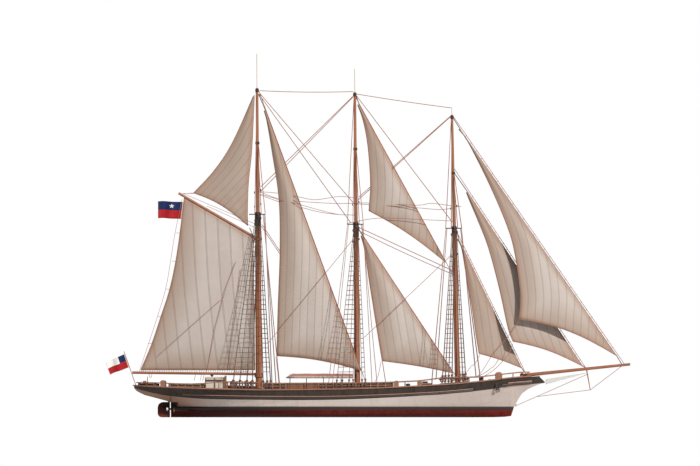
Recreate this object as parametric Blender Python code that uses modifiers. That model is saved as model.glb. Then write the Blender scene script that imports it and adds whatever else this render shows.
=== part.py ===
"""Three-masted fore-and-aft schooner, built as a 1:2 scale model.

All sizes and places below are in metres of the real ship. Every point is
multiplied by SCALE when its mesh is made. +X is the bow, +Y port, +Z up, and
the origin lies on the waterline, amidships, on the centreline.
"""
import math

import bmesh
import bpy
import numpy as np
from mathutils import Matrix, Vector

SCALE = 0.5
SEAT_GAP = 0.0006            # half of it, 0.3 mm, is left on the model

SPAR_ROLL = 0.23             # turns a bar's edges off the ship's middle plane

# Hull
STERN_X = -20.52
BOW_X = 20.30
HALF_BEAM = 4.0
AFT_BODY_X = -5.0            # aft of this the rail line closes in
FORE_BODY_X = 3.0            # forward of this the rail line closes in
STEM_HALF = 0.09
KEEL_Z = -0.93
STERNPOST_X = -16.80
BULWARK_DEPTH = 0.45         # from the sheer line down to the deck
BULWARK_WALL = 0.15
DECK_THICK = 0.06
DECK_SIDE_GAP = 0.02         # under the cap, where the waterway runs
WELL_AFT_X = -19.70
WELL_FORE_X = 19.00

# columns: x, height of the sheer line
SHEER = ((-20.52, 2.20), (-18.9, 2.10), (-13.9, 1.90), (-7.9, 1.76), (-1.9, 1.79),
         (4.1, 1.95), (10.1, 2.25), (14.1, 2.60), (17.1, 2.97), (18.9, 3.11), (20.6, 3.24))

# columns: x, lowest height, half width of the flat bottom, fullness (low is full)
HULL_STATIONS = (
    (-20.50, 2.10, 0.06, 0.60),
    (-20.44, 1.93, 0.15, 0.60),
    (-20.24, 1.71, 0.28, 0.55),
    (-19.84, 1.49, 0.40, 0.50),
    (-19.39, 1.28, 0.50, 0.50),
    (-18.72, 1.11, 0.60, 0.55),
    (-18.05, 0.93, 0.65, 0.65),
    (-17.38, 0.75, 0.70, 0.85),
    (-16.82, 0.59, 0.74, 1.20),
    (STERNPOST_X, KEEL_Z, 0.12, 2.20),
    (-15.50, KEEL_Z, 0.14, 1.50),
    (-13.50, KEEL_Z, 0.20, 0.95),
    (-11.00, KEEL_Z, 0.45, 0.60),
    (-8.00, KEEL_Z, 0.90, 0.38),
    (-4.00, KEEL_Z, 1.40, 0.26),
    (0.00, KEEL_Z, 1.60, 0.22),
    (4.00, KEEL_Z, 1.50, 0.24),
    (8.00, KEEL_Z, 1.10, 0.32),
    (11.00, KEEL_Z, 0.60, 0.46),
    (13.50, KEEL_Z, 0.28, 0.65),
    (15.50, -0.92, 0.14, 0.85),
    (16.60, -0.88, 0.10, 0.95),
    (17.21, -0.80, 0.09, 1.00),
    (17.52, 0.18, 0.09, 1.00),
    (17.98, 0.97, 0.09, 1.00),
    (18.33, 1.48, 0.09, 1.00),
    (18.90, 1.89, 0.09, 1.00),
    (19.46, 2.15, 0.09, 1.00),
    (20.05, 2.38, 0.09, 1.00),
)
# columns: x, lowest height, highest height, half width; the beak ahead of the bulwarks
BEAK_STATIONS = ((20.12, 2.40, 3.05, 0.09), (20.58, 2.53, 2.62, 0.04))
SECTION_STEPS = (0.0, 0.012, 0.05, 0.12, 0.24, 0.42, 0.65, 0.84, 1.0)

# Rails: the cap lies on the bulwark, the top rail stands above its inner edge
CAP_THICK = 0.12
CAP_OUTER = 0.10
CAP_INNER = 0.34
TOP_RAIL_INBOARD = 0.26
TOP_RAIL_RADIUS = 0.045
STANCHION_RADIUS = 0.035
RAIL_END_X = 19.20
# columns: x, height of the top rail's axis
TOP_RAIL = ((-20.5, 2.55), (-18.3, 2.53), (-17.0, 2.45), (-14.0, 2.40), (-11.5, 2.62),
            (-8.5, 2.62), (-8.0, 2.47), (2.8, 2.52), (5.3, 2.59), (8.1, 2.73),
            (10.5, 3.05), (13.9, 3.10), (15.7, 3.32), (18.1, 3.58), (19.1, 3.60))
STANCHION_X = (-20.05, -19.2, -18.3, -17.0, -15.4, -13.8, -12.0, -10.4, -8.8, -7.0, -5.2, -3.4,
               -1.6, 0.2, 2.0, 3.8, 6.6, 9.3, 11.2, 13.0, 14.4, 17.4, 18.9)
# columns: middle x, half length, top height; the round-topped chocks
CHOCKS = ((-17.57, 0.26, 2.78), (5.73, 0.23, 2.73), (8.06, 0.21, 2.80), (15.97, 0.33, 3.60))
CHOCK_HALF_WIDTH = 0.10

# Rudder, helm and propellers
RUDDER_AXIS_X = -17.00
RUDDER_TOP_Z = 0.60
RUDDER_AFT_X = -18.13
RUDDER_HALF_THICK = 0.07
STOCK_RADIUS = 0.10
STOCK_CLEAR = 0.0016
GUDGEON_Z = -0.10
HELM_CENTRE = (-19.15, 0.0, 2.55)
HELM_RIM_RADIUS = 0.50
HELM_HANDLE_RADIUS = 0.62
PROP_CENTRE = (-16.48, 0.85, -0.27)
PROP_RADIUS = 0.34
PROP_BLADES = 3
SHAFT_RADIUS = 0.06

# Masts: columns are name, foot x, head x, head z, foot radius, upper radius of the lower
# mast, low and high end of the doubling, topmast radius low and high, band z, pole tip z
MASTS = (
    ("mizzen", -8.00, -8.20, 31.98, 0.32, 0.285, 18.2, 19.6, 0.19, 0.13, 26.5, 35.4),
    ("main", 1.84, 1.58, 31.56, 0.29, 0.260, 17.1, 18.6, 0.18, 0.13, 25.9, 33.9),
    ("fore", 11.87, 11.30, 29.30, 0.26, 0.240, 17.4, 18.2, 0.17, 0.12, 23.5, 30.1),
)
MAST_FOOT_Z = 1.0            # trimmed to the deck
POLE_RADIUS = 0.035
CROSSTREE_AFT = 0.88
CROSSTREE_FORE = 0.76
CROSSTREE_SPREAD = 1.10
CROSSTREE_HALF = 0.05

# Shrouds: the places of their feet along the rail, on each side
SHROUD_FEET = {
    "mizzen": (-10.67, -9.98, -9.25, -8.68, -7.57, -7.15, -6.80),
    "main": (-0.30, 0.27, 0.98, 1.40, 2.32, 2.67),
    "fore": (10.30, 10.60, 10.95, 11.30, 12.10, 12.40, 12.70),
}
SHROUD_RADIUS = 0.025
SHROUD_STEP = 0.075          # between their upper ends, along the crosstrees
STAY_RADIUS = 0.03

# Bowsprit
BOWSPRIT_HEEL = (18.10, 0.0, 3.227)
BOWSPRIT_END = (29.12, 0.0, 4.37)
BOWSPRIT_RADII = (0.18, 0.13)
STRIKER_X = 24.74
NET_AFT_X = 20.70
STRIKER_TIP = (25.13, 0.0, 1.77)

# Spanker gear, which swings about the mizzen mast
BOOM_Z = 3.38
BOOM_END = (-20.68, 0.0, 3.54)
BOOM_RADIUS = 0.13
GAFF_JAW_Z = 16.90
GAFF_PEAK = (-16.05, 0.0, 21.49)
GAFF_RADIUS = 0.125
JAW_CLEAR = 0.012
JAW_WALL = 0.09
JAW_HALF_HEIGHT = 0.15

CLOTH_THICK = 0.02
GAFF_SEAM = -0.0004          # the sail's head against the facets of the gaff
HEADBOARD = 0.15
# Stays: columns are name, upper point, lower point; their ends are trimmed to the spars
STAYS = (
    ("mizzen_topmast_stay", (-8.10, 0.0, 31.97), (2.30, -0.50, 3.60)),
    ("main_topmast_stay", (1.66, 0.0, 31.10), (11.45, 0.0, 13.21)),
    ("main_stay", (1.75, 0.0, 18.25), (11.86, 0.0, 2.92)),
    ("fore_stay", (11.60, 0.0, 18.00), (18.77, 0.0, 3.28)),
    ("inner_jib_stay", (11.41, 0.0, 24.12), (24.74, 0.0, 3.91)),
    ("outer_jib_stay", (11.35, 0.0, 29.28), (28.60, 0.0, 4.30)),
)
# Sails set on stays: columns are name, stay, gap to the stay, height of the tack and of the
# head on the stay, leech points from the clew up, hollow of the foot, clew's reach to
# starboard, belly
STAYSAILS = (
    ("mizzen_staysail", "mizzen_topmast_stay", -0.0010, 4.30, 29.80,
     ((-6.23, 5.20), (-6.10, 10.0), (-5.90, 16.0), (-6.02, 21.0), (-6.70, 25.6), (-7.20, 28.6)),
     0.30, 0.8, 0.45),
    ("main_topmast_staysail", "main_topmast_stay", 0.0036, 14.60, 30.40,
     ((2.98, 19.70), (3.14, 22.0), (3.06, 24.2), (2.80, 26.8), (2.36, 28.9)),
     0.35, 0.7, 0.30),
    ("main_staysail", "main_stay", -0.0016, 3.80, 17.30,
     ((4.31, 4.70), (3.93, 7.0), (3.54, 9.4), (3.0, 12.8), (2.55, 15.8)),
     0.10, 1.1, 0.40),
    ("fore_staysail", "fore_stay", -0.0008, 4.05, 17.00,
     ((13.99, 5.43), (13.67, 7.4), (13.23, 10.47), (12.65, 13.66), (12.25, 16.0)),
     0.10, 1.2, 0.35),
    ("inner_jib", "inner_jib_stay", 0.0010, 4.25, 21.70,
     ((17.37, 6.64), (16.86, 8.04), (16.0, 12.0), (14.95, 15.95), (13.93, 18.63), (13.1, 20.6)),
     0.34, 1.7, 0.45),
    ("outer_jib", "outer_jib_stay", 0.0044, 5.30, 28.00,
     ((18.00, 8.87), (18.10, 11.5), (17.60, 15.2), (16.86, 18.0), (15.08, 22.23), (12.9, 26.6)),
     0.64, 2.2, 0.55),
)
SPANKER_LEECH = ((-19.83, 3.85), (-18.76, 6.33), (-17.82, 9.14), (-16.88, 12.1), (-16.15, 15.8))
TOPSAIL_LUFF = ((-9.11, 18.22), (-9.15, 19.5), (-9.05, 22.5), (-8.71, 25.9), (-8.45, 31.3))
TOPSAIL_LEECH = ((-14.56, 21.50), (-12.78, 23.4), (-11.29, 25.45), (-10.14, 27.63), (-8.58, 31.2))

STAFF_FOOT = (-20.34, 0.90, 2.30)
STAFF_TOP = (-21.51, 0.90, 5.66)
STAFF_RADIUS = 0.035

# columns: name, colour, roughness, metallic
MATERIALS = {
    "hull_paint": ((0.055, 0.045, 0.040), 0.45, 0.0),
    "deck_wood": ((0.42, 0.28, 0.17), 0.6, 0.0),
    "varnished_wood": ((0.30, 0.10, 0.045), 0.35, 0.0),
    "brown_wood": ((0.40, 0.20, 0.11), 0.5, 0.0),
    "black_iron": ((0.02, 0.012, 0.010), 0.5, 0.3),
    "white_paint": ((0.78, 0.76, 0.72), 0.45, 0.0),
    "bronze": ((0.55, 0.32, 0.12), 0.3, 1.0),
    "sail_cloth": ((0.60, 0.50, 0.43), 0.8, 0.0),
    "red_canvas": ((0.40, 0.13, 0.09), 0.8, 0.0),
    "rope": ((0.05, 0.035, 0.025), 0.8, 0.0),
    "net_cord": ((0.60, 0.55, 0.48), 0.8, 0.0),
    "flag_cloth": ((0.38, 0.04, 0.04), 0.8, 0.0),
}

ship = None                  # the collection of the ship's pieces
cutters = None               # the collection of the cutting and joined shapes


def clear_scene():
    for obj in list(bpy.data.objects):
        bpy.data.objects.remove(obj)


def make_collection(name):
    collection = bpy.data.collections.new(name)
    bpy.context.scene.collection.children.link(collection)
    return collection


def make_materials():
    for name, (colour, roughness, metallic) in MATERIALS.items():
        material = bpy.data.materials.new(name)
        material.use_nodes = True
        shader = material.node_tree.nodes["Principled BSDF"]
        shader.inputs["Base Color"].default_value = (*colour, 1.0)
        shader.inputs["Roughness"].default_value = roughness
        shader.inputs["Metallic"].default_value = metallic


def place(x, y, z):
    """A point of the real ship, on the model."""
    return Vector((x, y, z)) * SCALE


def face_out(bm):
    """Point the faces of one closed shape out; thin bars can come out turned about."""
    bmesh.ops.recalc_face_normals(bm, faces=bm.faces)
    if bm.calc_volume(signed=True) < 0:
        bmesh.ops.reverse_faces(bm, faces=bm.faces)


def finish_mesh(name, bm, smooth=False, turn=True):
    """Turn a bmesh into an object among the cutters, with its faces pointing out."""
    if turn:
        face_out(bm)
    mesh = bpy.data.meshes.new(name)
    bm.to_mesh(mesh)
    bm.free()
    if smooth:
        mesh.shade_smooth()
        mesh.set_sharp_from_angle(angle=math.radians(35))
    obj = bpy.data.objects.new(name, mesh)
    cutters.objects.link(obj)
    obj.hide_render = True
    obj.display_type = "WIRE"
    return obj


def publish(obj, name, material):
    """Make a shape one of the ship's own pieces, with the Booleans' stray points welded."""
    if any(modifier.type == "BOOLEAN" for modifier in obj.modifiers):
        weld = obj.modifiers.new("weld", "WELD")
        weld.merge_threshold = 0.00003
    obj.name = name
    obj.data.name = name
    cutters.objects.unlink(obj)
    ship.objects.link(obj)
    obj.hide_render = False
    obj.display_type = "TEXTURED"
    obj.data.materials.clear()
    obj.data.materials.append(bpy.data.materials[material])
    return obj


def boolean(obj, tool, operation):
    modifier = obj.modifiers.new(operation.lower(), "BOOLEAN")
    modifier.operation = operation
    modifier.solver = "EXACT"
    modifier.object = tool
    return obj


def box(x_range, y_range, z_range):
    """A box of the real ship's sizes, from its low and high places."""
    bm = bmesh.new()
    bmesh.ops.create_cube(bm, size=1.0)
    ranges = (x_range, y_range, z_range)
    size = [(high - low) * SCALE for low, high in ranges]
    middle = [(high + low) / 2 * SCALE for low, high in ranges]
    bmesh.ops.scale(bm, vec=size, verts=bm.verts)
    bmesh.ops.translate(bm, vec=middle, verts=bm.verts)
    return finish_mesh("box", bm)


def spar(start, end, radius, end_radius=None, sides=16):
    """A round, straight and perhaps tapered bar between two points."""
    start, end = place(*start), place(*end)
    end_radius = radius if end_radius is None else end_radius
    bm = bmesh.new()
    bmesh.ops.create_cone(bm, cap_ends=True, segments=sides, radius1=radius * SCALE,
                          radius2=end_radius * SCALE, depth=(end - start).length)
    turn = (end - start).to_track_quat("Z", "Y").to_matrix().to_4x4()
    roll = Matrix.Rotation(SPAR_ROLL, 4, "Z")
    bm.transform(Matrix.Translation((start + end) / 2) @ turn @ roll)
    return finish_mesh("spar", bm, smooth=True)


def merge(shapes, name="merged"):
    """Several shapes that don't touch, as one cutter or join object."""
    bm = bmesh.new()
    for shape in shapes:
        bm.from_mesh(shape.data)
        bpy.data.objects.remove(shape)
    return finish_mesh(name, bm, smooth=True, turn=False)


def loft(rings, name="loft", smooth=False):
    """A closed solid through rings of points, each ring with the same count."""
    bm = bmesh.new()
    loops = [[bm.verts.new(place(*point)) for point in ring] for ring in rings]
    count = len(loops[0])
    for ring, following in zip(loops, loops[1:]):
        for i in range(count):
            j = (i + 1) % count
            bm.faces.new((ring[i], ring[j], following[j], following[i]))
    bm.faces.new(loops[0])
    bm.faces.new(loops[-1])
    return finish_mesh(name, bm, smooth)


def turned(profile, base_x, slope, sides=20, name="turned"):
    """A shape turned about a raked mast's axis. Profile rows are radius, height.

    base_x is the axis' x at height 0 and slope its change in x for each metre up.
    """
    mesh = bpy.data.meshes.new(name)
    rows = [(0.0, profile[0][1])] + list(profile) + [(0.0, profile[-1][1])]
    points = [(radius * SCALE, 0.0, height * SCALE) for radius, height in rows]
    mesh.from_pydata(points, [(i, i + 1) for i in range(len(points) - 1)], [])
    obj = bpy.data.objects.new(name, mesh)
    cutters.objects.link(obj)
    obj.hide_render = True
    obj.display_type = "WIRE"
    obj.location = place(base_x, 0.0, 0.0)
    obj.rotation_euler = (0.0, math.atan(slope), 0.0)
    screw = obj.modifiers.new("turn", "SCREW")
    screw.steps = screw.render_steps = sides
    screw.use_merge_vertices = True
    screw.merge_threshold = 0.0001
    screw.use_smooth_shade = True
    return obj


# Lines of the hull

def sheer(x):
    return float(np.interp(x, [row[0] for row in SHEER], [row[1] for row in SHEER]))


def rail_half(x):
    """Half the breadth of the hull at its sheer line."""
    if x < AFT_BODY_X:
        share = (AFT_BODY_X - x) / (AFT_BODY_X - STERN_X)
        return HALF_BEAM * math.sqrt(max(1 - share ** 4, 0.0))
    if x > FORE_BODY_X:
        share = min((x - FORE_BODY_X) / (BOW_X - FORE_BODY_X), 1.0)
        return STEM_HALF + (HALF_BEAM - STEM_HALF) * (1 - share ** 2.2)
    return HALF_BEAM


def hull_half(x, z):
    """Half the breadth of the hull at any height, between its stations."""
    places = [row[0] for row in HULL_STATIONS]
    low, flat, fullness = (np.interp(x, places, [row[i] for row in HULL_STATIONS])
                           for i in (1, 2, 3))
    share = min(max((z - low) / (sheer(x) - low), 0.0), 1.0)
    return flat + (rail_half(x) - flat) * share ** fullness


def deck_z(x):
    return sheer(x) - BULWARK_DEPTH


def both_sides(points):
    """A ring over the keel from half a section's (y, z) points, from low to high."""
    return [(y, z) for y, z in reversed(points)] + [(-y, z) for y, z in points]


def hull_section(x, low, flat, fullness):
    top, half = sheer(x), rail_half(x)
    return [(flat + (half - flat) * s ** fullness, low + (top - low) * s) for s in SECTION_STEPS]


def beak_section(low, high, half):
    return [(half, low + (high - low) * s) for s in SECTION_STEPS]


def make_hull_loft():
    rings = []
    for x, low, flat, fullness in HULL_STATIONS:
        rings.append([(x, y, z) for y, z in both_sides(hull_section(x, low, flat, fullness))])
    for x, low, high, half in BEAK_STATIONS:
        rings.append([(x, y, z) for y, z in both_sides(beak_section(low, high, half))])
    return loft(rings, "hull_loft", smooth=True)


def well_places():
    return np.linspace(WELL_AFT_X, WELL_FORE_X, 27)


def make_well():
    """The space inside the bulwarks, down to the underside of the deck."""
    rings = []
    for x in well_places():
        floor = deck_z(x) - DECK_THICK
        low = hull_half(x, floor) - BULWARK_WALL
        flare = (rail_half(x) - BULWARK_WALL - low) / (sheer(x) - floor)
        above = 0.2
        half = [(low, floor), (low + flare * (sheer(x) + above - floor), sheer(x) + above)]
        rings.append([(x, y, z) for y, z in both_sides(half)])
    return loft(rings, "well")


def make_deck():
    rings = []
    for x in well_places():
        x = min(max(x, WELL_AFT_X + SEAT_GAP), WELL_FORE_X - SEAT_GAP)
        half = hull_half(x, deck_z(x) - DECK_THICK) - BULWARK_WALL - DECK_SIDE_GAP
        low = deck_z(x) - DECK_THICK + SEAT_GAP
        rings.append([(x, y, z) for y, z in both_sides([(half, low), (half, deck_z(x))])])
    publish(loft(rings), "deck", "deck_wood")


def make_deck_trimmer():
    """Everything below the deck's surface, to trim the feet of what stands on it."""
    rings = []
    for x in well_places():
        half = [(6.0, -3.0), (6.0, deck_z(x) + SEAT_GAP)]
        rings.append([(x, y, z) for y, z in both_sides(half)])
    return loft(rings, "deck_trimmer")


def make_rail_trimmers():
    """Slabs that end exactly at the sheer line and at the cap's upper side."""
    for name, low, high in (("sheer_trimmer", None, SEAT_GAP),
                            ("cap_top_trimmer", CAP_THICK, None),
                            ("cap_trimmer", None, CAP_THICK + SEAT_GAP)):
        rings = []
        for x in [-22.0] + [row[0] for row in HULL_STATIONS]:
            floor = -3.0 if low is None else sheer(x) + low
            roof = 8.0 if high is None else sheer(x) + high
            rings.append([(x, y, z) for y, z in both_sides([(6.0, floor), (6.0, roof)])])
        loft(rings, name)


def make_hull():
    hull = make_hull_loft()
    boolean(hull, make_well(), "DIFFERENCE")
    shafts = []
    for side in (-1, 1):
        x, y, z = PROP_CENTRE
        shafts.append(spar((x + 0.10, side * y, z), (-12.0, side * y, z), SHAFT_RADIUS, sides=12))
    boolean(hull, merge(shafts, "shafts"), "UNION")
    brackets = []
    for side in (-1, 1):
        x, y, z = PROP_CENTRE
        brackets.append(spar((x + 0.35, side * y, z), (x + 0.45, side * 0.95, 0.75), 0.045, sides=8))
    boolean(hull, merge(brackets, "brackets"), "UNION")
    gudgeon = box((RUDDER_AXIS_X - 0.02, STERNPOST_X + 0.1), (-0.16, 0.16),
                  (GUDGEON_Z - 0.09, GUDGEON_Z + 0.09))
    boolean(hull, gudgeon, "UNION")
    bore = spar((RUDDER_AXIS_X, 0, -1.2), (RUDDER_AXIS_X, 0, 1.2), STOCK_RADIUS + STOCK_CLEAR,
                sides=24)
    boolean(hull, bore, "DIFFERENCE")
    boolean(hull, box((17.45, BOBSTAY_EYE_X), (-0.06, 0.06), (0.16, 0.40)), "UNION")
    bosses = [spar((HAWSE[0], side * 1.2, HAWSE[2]), (HAWSE[0], side * HAWSE[1], HAWSE[2]), 0.16)
              for side in (-1, 1)]
    boolean(hull, merge(bosses, "hawse_bosses"), "UNION")
    publish(hull, "hull", "hull_paint")


BOBSTAY_EYE_X = 17.80
HAWSE = (16.10, 2.05, 2.08)


# Rails

def rail_path(side, inboard):
    """Points along the sheer line of one side, shifted inboard, from stern to bow."""
    angles = np.linspace(0.0, 1.0, 9)
    stern = [STERN_X + (1 - math.cos(a * math.pi / 2)) * 2.6 for a in angles]
    xs = stern[:-1] + list(np.linspace(stern[-1], RAIL_END_X, 24))
    outline = [Vector((x, rail_half(x))) for x in xs]
    path = []
    for i, point in enumerate(outline):
        before = outline[max(i - 1, 0)]
        after = outline[min(i + 1, len(outline) - 1)]
        along = Vector((0.0, 1.0)) if i == 0 else (after - before).normalized()
        inward = Vector((along.y, -along.x))
        spot = point + inward * inboard
        path.append((spot.x, max(spot.y, 0.002) * side, sheer(point.x), inward.x, inward.y * side))
    return path


def make_cap(side):
    rings = []
    for x, y, z, inward_x, inward_y in rail_path(side, 0.0):
        corners = []
        for shift, height in ((-CAP_OUTER, -0.2), (CAP_INNER, -0.2),
                              (CAP_INNER, 0.3), (-CAP_OUTER, 0.3)):
            spot_y = (y + inward_y * shift) * side
            corners.append((x + inward_x * shift, max(spot_y, 0.002) * side, z + height))
        rings.append(corners)
    cap = loft(rings, "cap")
    boolean(cap, bpy.data.objects["sheer_trimmer"], "DIFFERENCE")
    return boolean(cap, bpy.data.objects["cap_top_trimmer"], "DIFFERENCE")


def rail_point(side, x):
    """The top rail's axis at x on one side."""
    height = float(np.interp(x, [row[0] for row in TOP_RAIL], [row[1] for row in TOP_RAIL]))
    path = rail_path(side, TOP_RAIL_INBOARD)
    y = float(np.interp(x, [row[0] for row in path], [abs(row[1]) for row in path]))
    return x, side * y, height


def make_top_rail(side):
    """A round rail swept along the path, with eight sides."""
    rings = []
    angles = [k * math.pi / 4 for k in range(8)]
    for x, y, _, inward_x, inward_y in rail_path(side, TOP_RAIL_INBOARD):
        height = float(np.interp(x, [row[0] for row in TOP_RAIL], [row[1] for row in TOP_RAIL]))
        ring = []
        for angle in angles:
            out = math.cos(angle) * TOP_RAIL_RADIUS
            spot_y = (y + inward_y * out) * side
            ring.append((x + inward_x * out, max(spot_y, 0.002) * side,
                         height + math.sin(angle) * TOP_RAIL_RADIUS))
        rings.append(ring)
    return loft(rings, "top_rail", smooth=True)


def make_rails():
    for side, name in ((1, "rail_port"), (-1, "rail_starboard")):
        rail = make_cap(side)
        posts = []
        for x in STANCHION_X:
            x, y, height = rail_point(side, x)
            posts.append(spar((x, y, sheer(x) + CAP_THICK / 2), (x, y, height), STANCHION_RADIUS,
                              sides=6))
        boolean(rail, merge(posts, "stanchions"), "UNION")
        boolean(rail, make_top_rail(side), "UNION")
        chocks = []
        for x, half, top in CHOCKS:
            y = side * (rail_half(x) - 0.02)
            low = sheer(x) + CAP_THICK / 2
            chocks.append(chock(x, y, half, low, top))
        boolean(rail, merge(chocks, "chocks"), "UNION")
        publish(rail, name, "brown_wood")


def chock(x, y, half, low, top):
    """An upright plank with a round head, its outline in the XZ plane."""
    steps = [k * math.pi / 8 for k in range(9)]
    outline = [(x - half, low), (x + half, low)]
    outline += [(x + half * math.cos(a), top - half * 0.7 + half * 0.7 * math.sin(a)) for a in steps]
    rings = [[(px, y + shift, pz) for px, pz in outline]
             for shift in (-CHOCK_HALF_WIDTH, CHOCK_HALF_WIDTH)]
    return loft(rings, "chock")


# Rudder, helm and propellers

def make_rudder():
    outline = [(RUDDER_AXIS_X, KEEL_Z), (RUDDER_AFT_X + 0.4, KEEL_Z)]
    outline += arc(RUDDER_AFT_X + 0.4, KEEL_Z + 0.4, 0.4, 270, 180)
    outline += arc(RUDDER_AFT_X + 0.55, RUDDER_TOP_Z - 0.55, 0.55, 180, 90)
    outline += [(RUDDER_AXIS_X, RUDDER_TOP_Z)]
    rings = [[(x, y, z) for x, z in outline] for y in (-RUDDER_HALF_THICK, RUDDER_HALF_THICK)]
    blade = loft(rings, "blade")
    gap = box((RUDDER_AXIS_X - 0.26, RUDDER_AXIS_X + 0.2), (-0.3, 0.3),
              (GUDGEON_Z - 0.12, GUDGEON_Z + 0.12))
    boolean(blade, gap, "DIFFERENCE")
    stock = spar((RUDDER_AXIS_X, 0, KEEL_Z), (RUDDER_AXIS_X, 0, 1.15), STOCK_RADIUS, sides=24)
    boolean(blade, stock, "UNION")
    publish(blade, "rudder", "hull_paint")


def arc(x, z, radius, start, stop, steps=5):
    angles = np.radians(np.linspace(start, stop, steps))
    return [(x + radius * math.cos(a), z + radius * math.sin(a)) for a in angles]


def make_helm():
    x, y, z = HELM_CENTRE
    bm = bmesh.new()
    rings, around = 20, 6
    for i in range(rings):
        big = 2 * math.pi * i / rings
        for j in range(around):
            small = 2 * math.pi * j / around
            reach = HELM_RIM_RADIUS + 0.035 * math.cos(small)
            bm.verts.new(place(x + 0.035 * math.sin(small), y + reach * math.cos(big),
                               z + reach * math.sin(big)))
    bm.verts.ensure_lookup_table()
    for i in range(rings):
        for j in range(around):
            a, b = i * around + j, i * around + (j + 1) % around
            c, d = (i + 1) % rings * around + (j + 1) % around, (i + 1) % rings * around + j
            bm.faces.new([bm.verts[k] for k in (a, b, c, d)])
    wheel = finish_mesh("rim", bm, smooth=True)
    boolean(wheel, spar((x - 0.07, y, z), (x + 0.07, y, z), 0.10, sides=20), "UNION")
    for i in range(4):
        angle = i * math.pi / 4
        reach = HELM_HANDLE_RADIUS
        ends = [(x, y + s * reach * math.cos(angle), z + s * reach * math.sin(angle))
                for s in (-1, 1)]
        boolean(wheel, spar(*ends, 0.022, sides=8), "UNION")
    boolean(wheel, spar((x - 0.2, y, z), (x + 0.2, y, z), 0.0315, sides=20), "DIFFERENCE")
    publish(wheel, "helm_wheel", "varnished_wood")
    steering = box((x - 0.44, x - 0.12), (-0.28, 0.28), (1.2, 2.72))
    boolean(steering, spar((x - 0.3, y, z), (x + 0.09, y, z), 0.030, sides=20), "UNION")
    boolean(steering, bpy.data.objects["deck_trimmer"], "DIFFERENCE")
    publish(steering, "steering_box", "varnished_wood")


def make_propellers():
    x, y, z = PROP_CENTRE
    for side, name in ((1, "propeller_port"), (-1, "propeller_starboard")):
        centre = (x, side * y, z)
        hub = spar((x - 0.10, side * y, z), (x + 0.10 - SEAT_GAP, side * y, z), 0.06, 0.075,
                   sides=16)
        blades = [blade(centre, 360 / PROP_BLADES * k, side) for k in range(PROP_BLADES)]
        for shape in blades:
            boolean(hub, shape, "UNION")
        publish(hub, name, "bronze")


def blade(centre, angle, side):
    """An oval blade, pitched about its own arm and turned about the shaft."""
    bm = bmesh.new()
    bmesh.ops.create_cone(bm, cap_ends=True, segments=16, radius1=1.0, radius2=1.0, depth=1.0)
    bmesh.ops.scale(bm, vec=(0.10 * SCALE, (PROP_RADIUS - 0.03) / 2 * SCALE, 0.018 * SCALE),
                    verts=bm.verts)
    bmesh.ops.rotate(bm, cent=(0, 0, 0), matrix=Matrix.Rotation(math.radians(90), 3, "X"),
                     verts=bm.verts)
    bmesh.ops.rotate(bm, cent=(0, 0, 0), matrix=Matrix.Rotation(math.radians(55 * side), 3, "Z"),
                     verts=bm.verts)
    bmesh.ops.translate(bm, vec=(0, 0, (PROP_RADIUS + 0.03) / 2 * SCALE), verts=bm.verts)
    bmesh.ops.rotate(bm, cent=(0, 0, 0), matrix=Matrix.Rotation(math.radians(angle), 3, "X"),
                     verts=bm.verts)
    bmesh.ops.translate(bm, vec=place(*centre), verts=bm.verts)
    return finish_mesh("blade", bm)


# Masts and standing rigging

def mast_axis(row):
    """The mast axis as its x at height 0 and its slope in x for each metre up."""
    _, foot_x, head_x, head_z = row[:4]
    slope = (head_x - foot_x) / (head_z - 1.3)
    return foot_x - slope * 1.3, slope


def mast_x(name, z):
    row = next(row for row in MASTS if row[0] == name)
    base_x, slope = mast_axis(row)
    return base_x + slope * z


def lower_profile(row, extra=0.0):
    name, _, _, _, foot_r, top_r, low, _, _, _, _, _ = row
    profile = [(top_r + extra, low), (foot_r + extra, 8.0)]
    if name == "mizzen" and not extra:
        low_jaw = BOOM_Z - JAW_HALF_HEIGHT - SEAT_GAP
        profile += [(foot_r, low_jaw), (foot_r + 0.12, low_jaw), (foot_r + 0.12, low_jaw - 0.12),
                    (foot_r, low_jaw - 0.22)]
    return profile + [(foot_r + extra, MAST_FOOT_Z)]


def top_profile(row, extra=0.0):
    _, _, _, head_z, _, _, _, high, low_r, high_r, band, tip = row
    return [(POLE_RADIUS * 0.6 + extra, tip), (POLE_RADIUS + extra, head_z + 0.05),
            (high_r + extra, head_z), (high_r + 0.015 + extra, band + 0.1 + extra),
            (high_r + 0.06 + extra, band + 0.1 + extra), (high_r + 0.06 + extra, band - 0.1 - extra),
            (high_r + 0.02 + extra, band - 0.1 - extra), (low_r + extra, high + SEAT_GAP - extra)]


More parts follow.
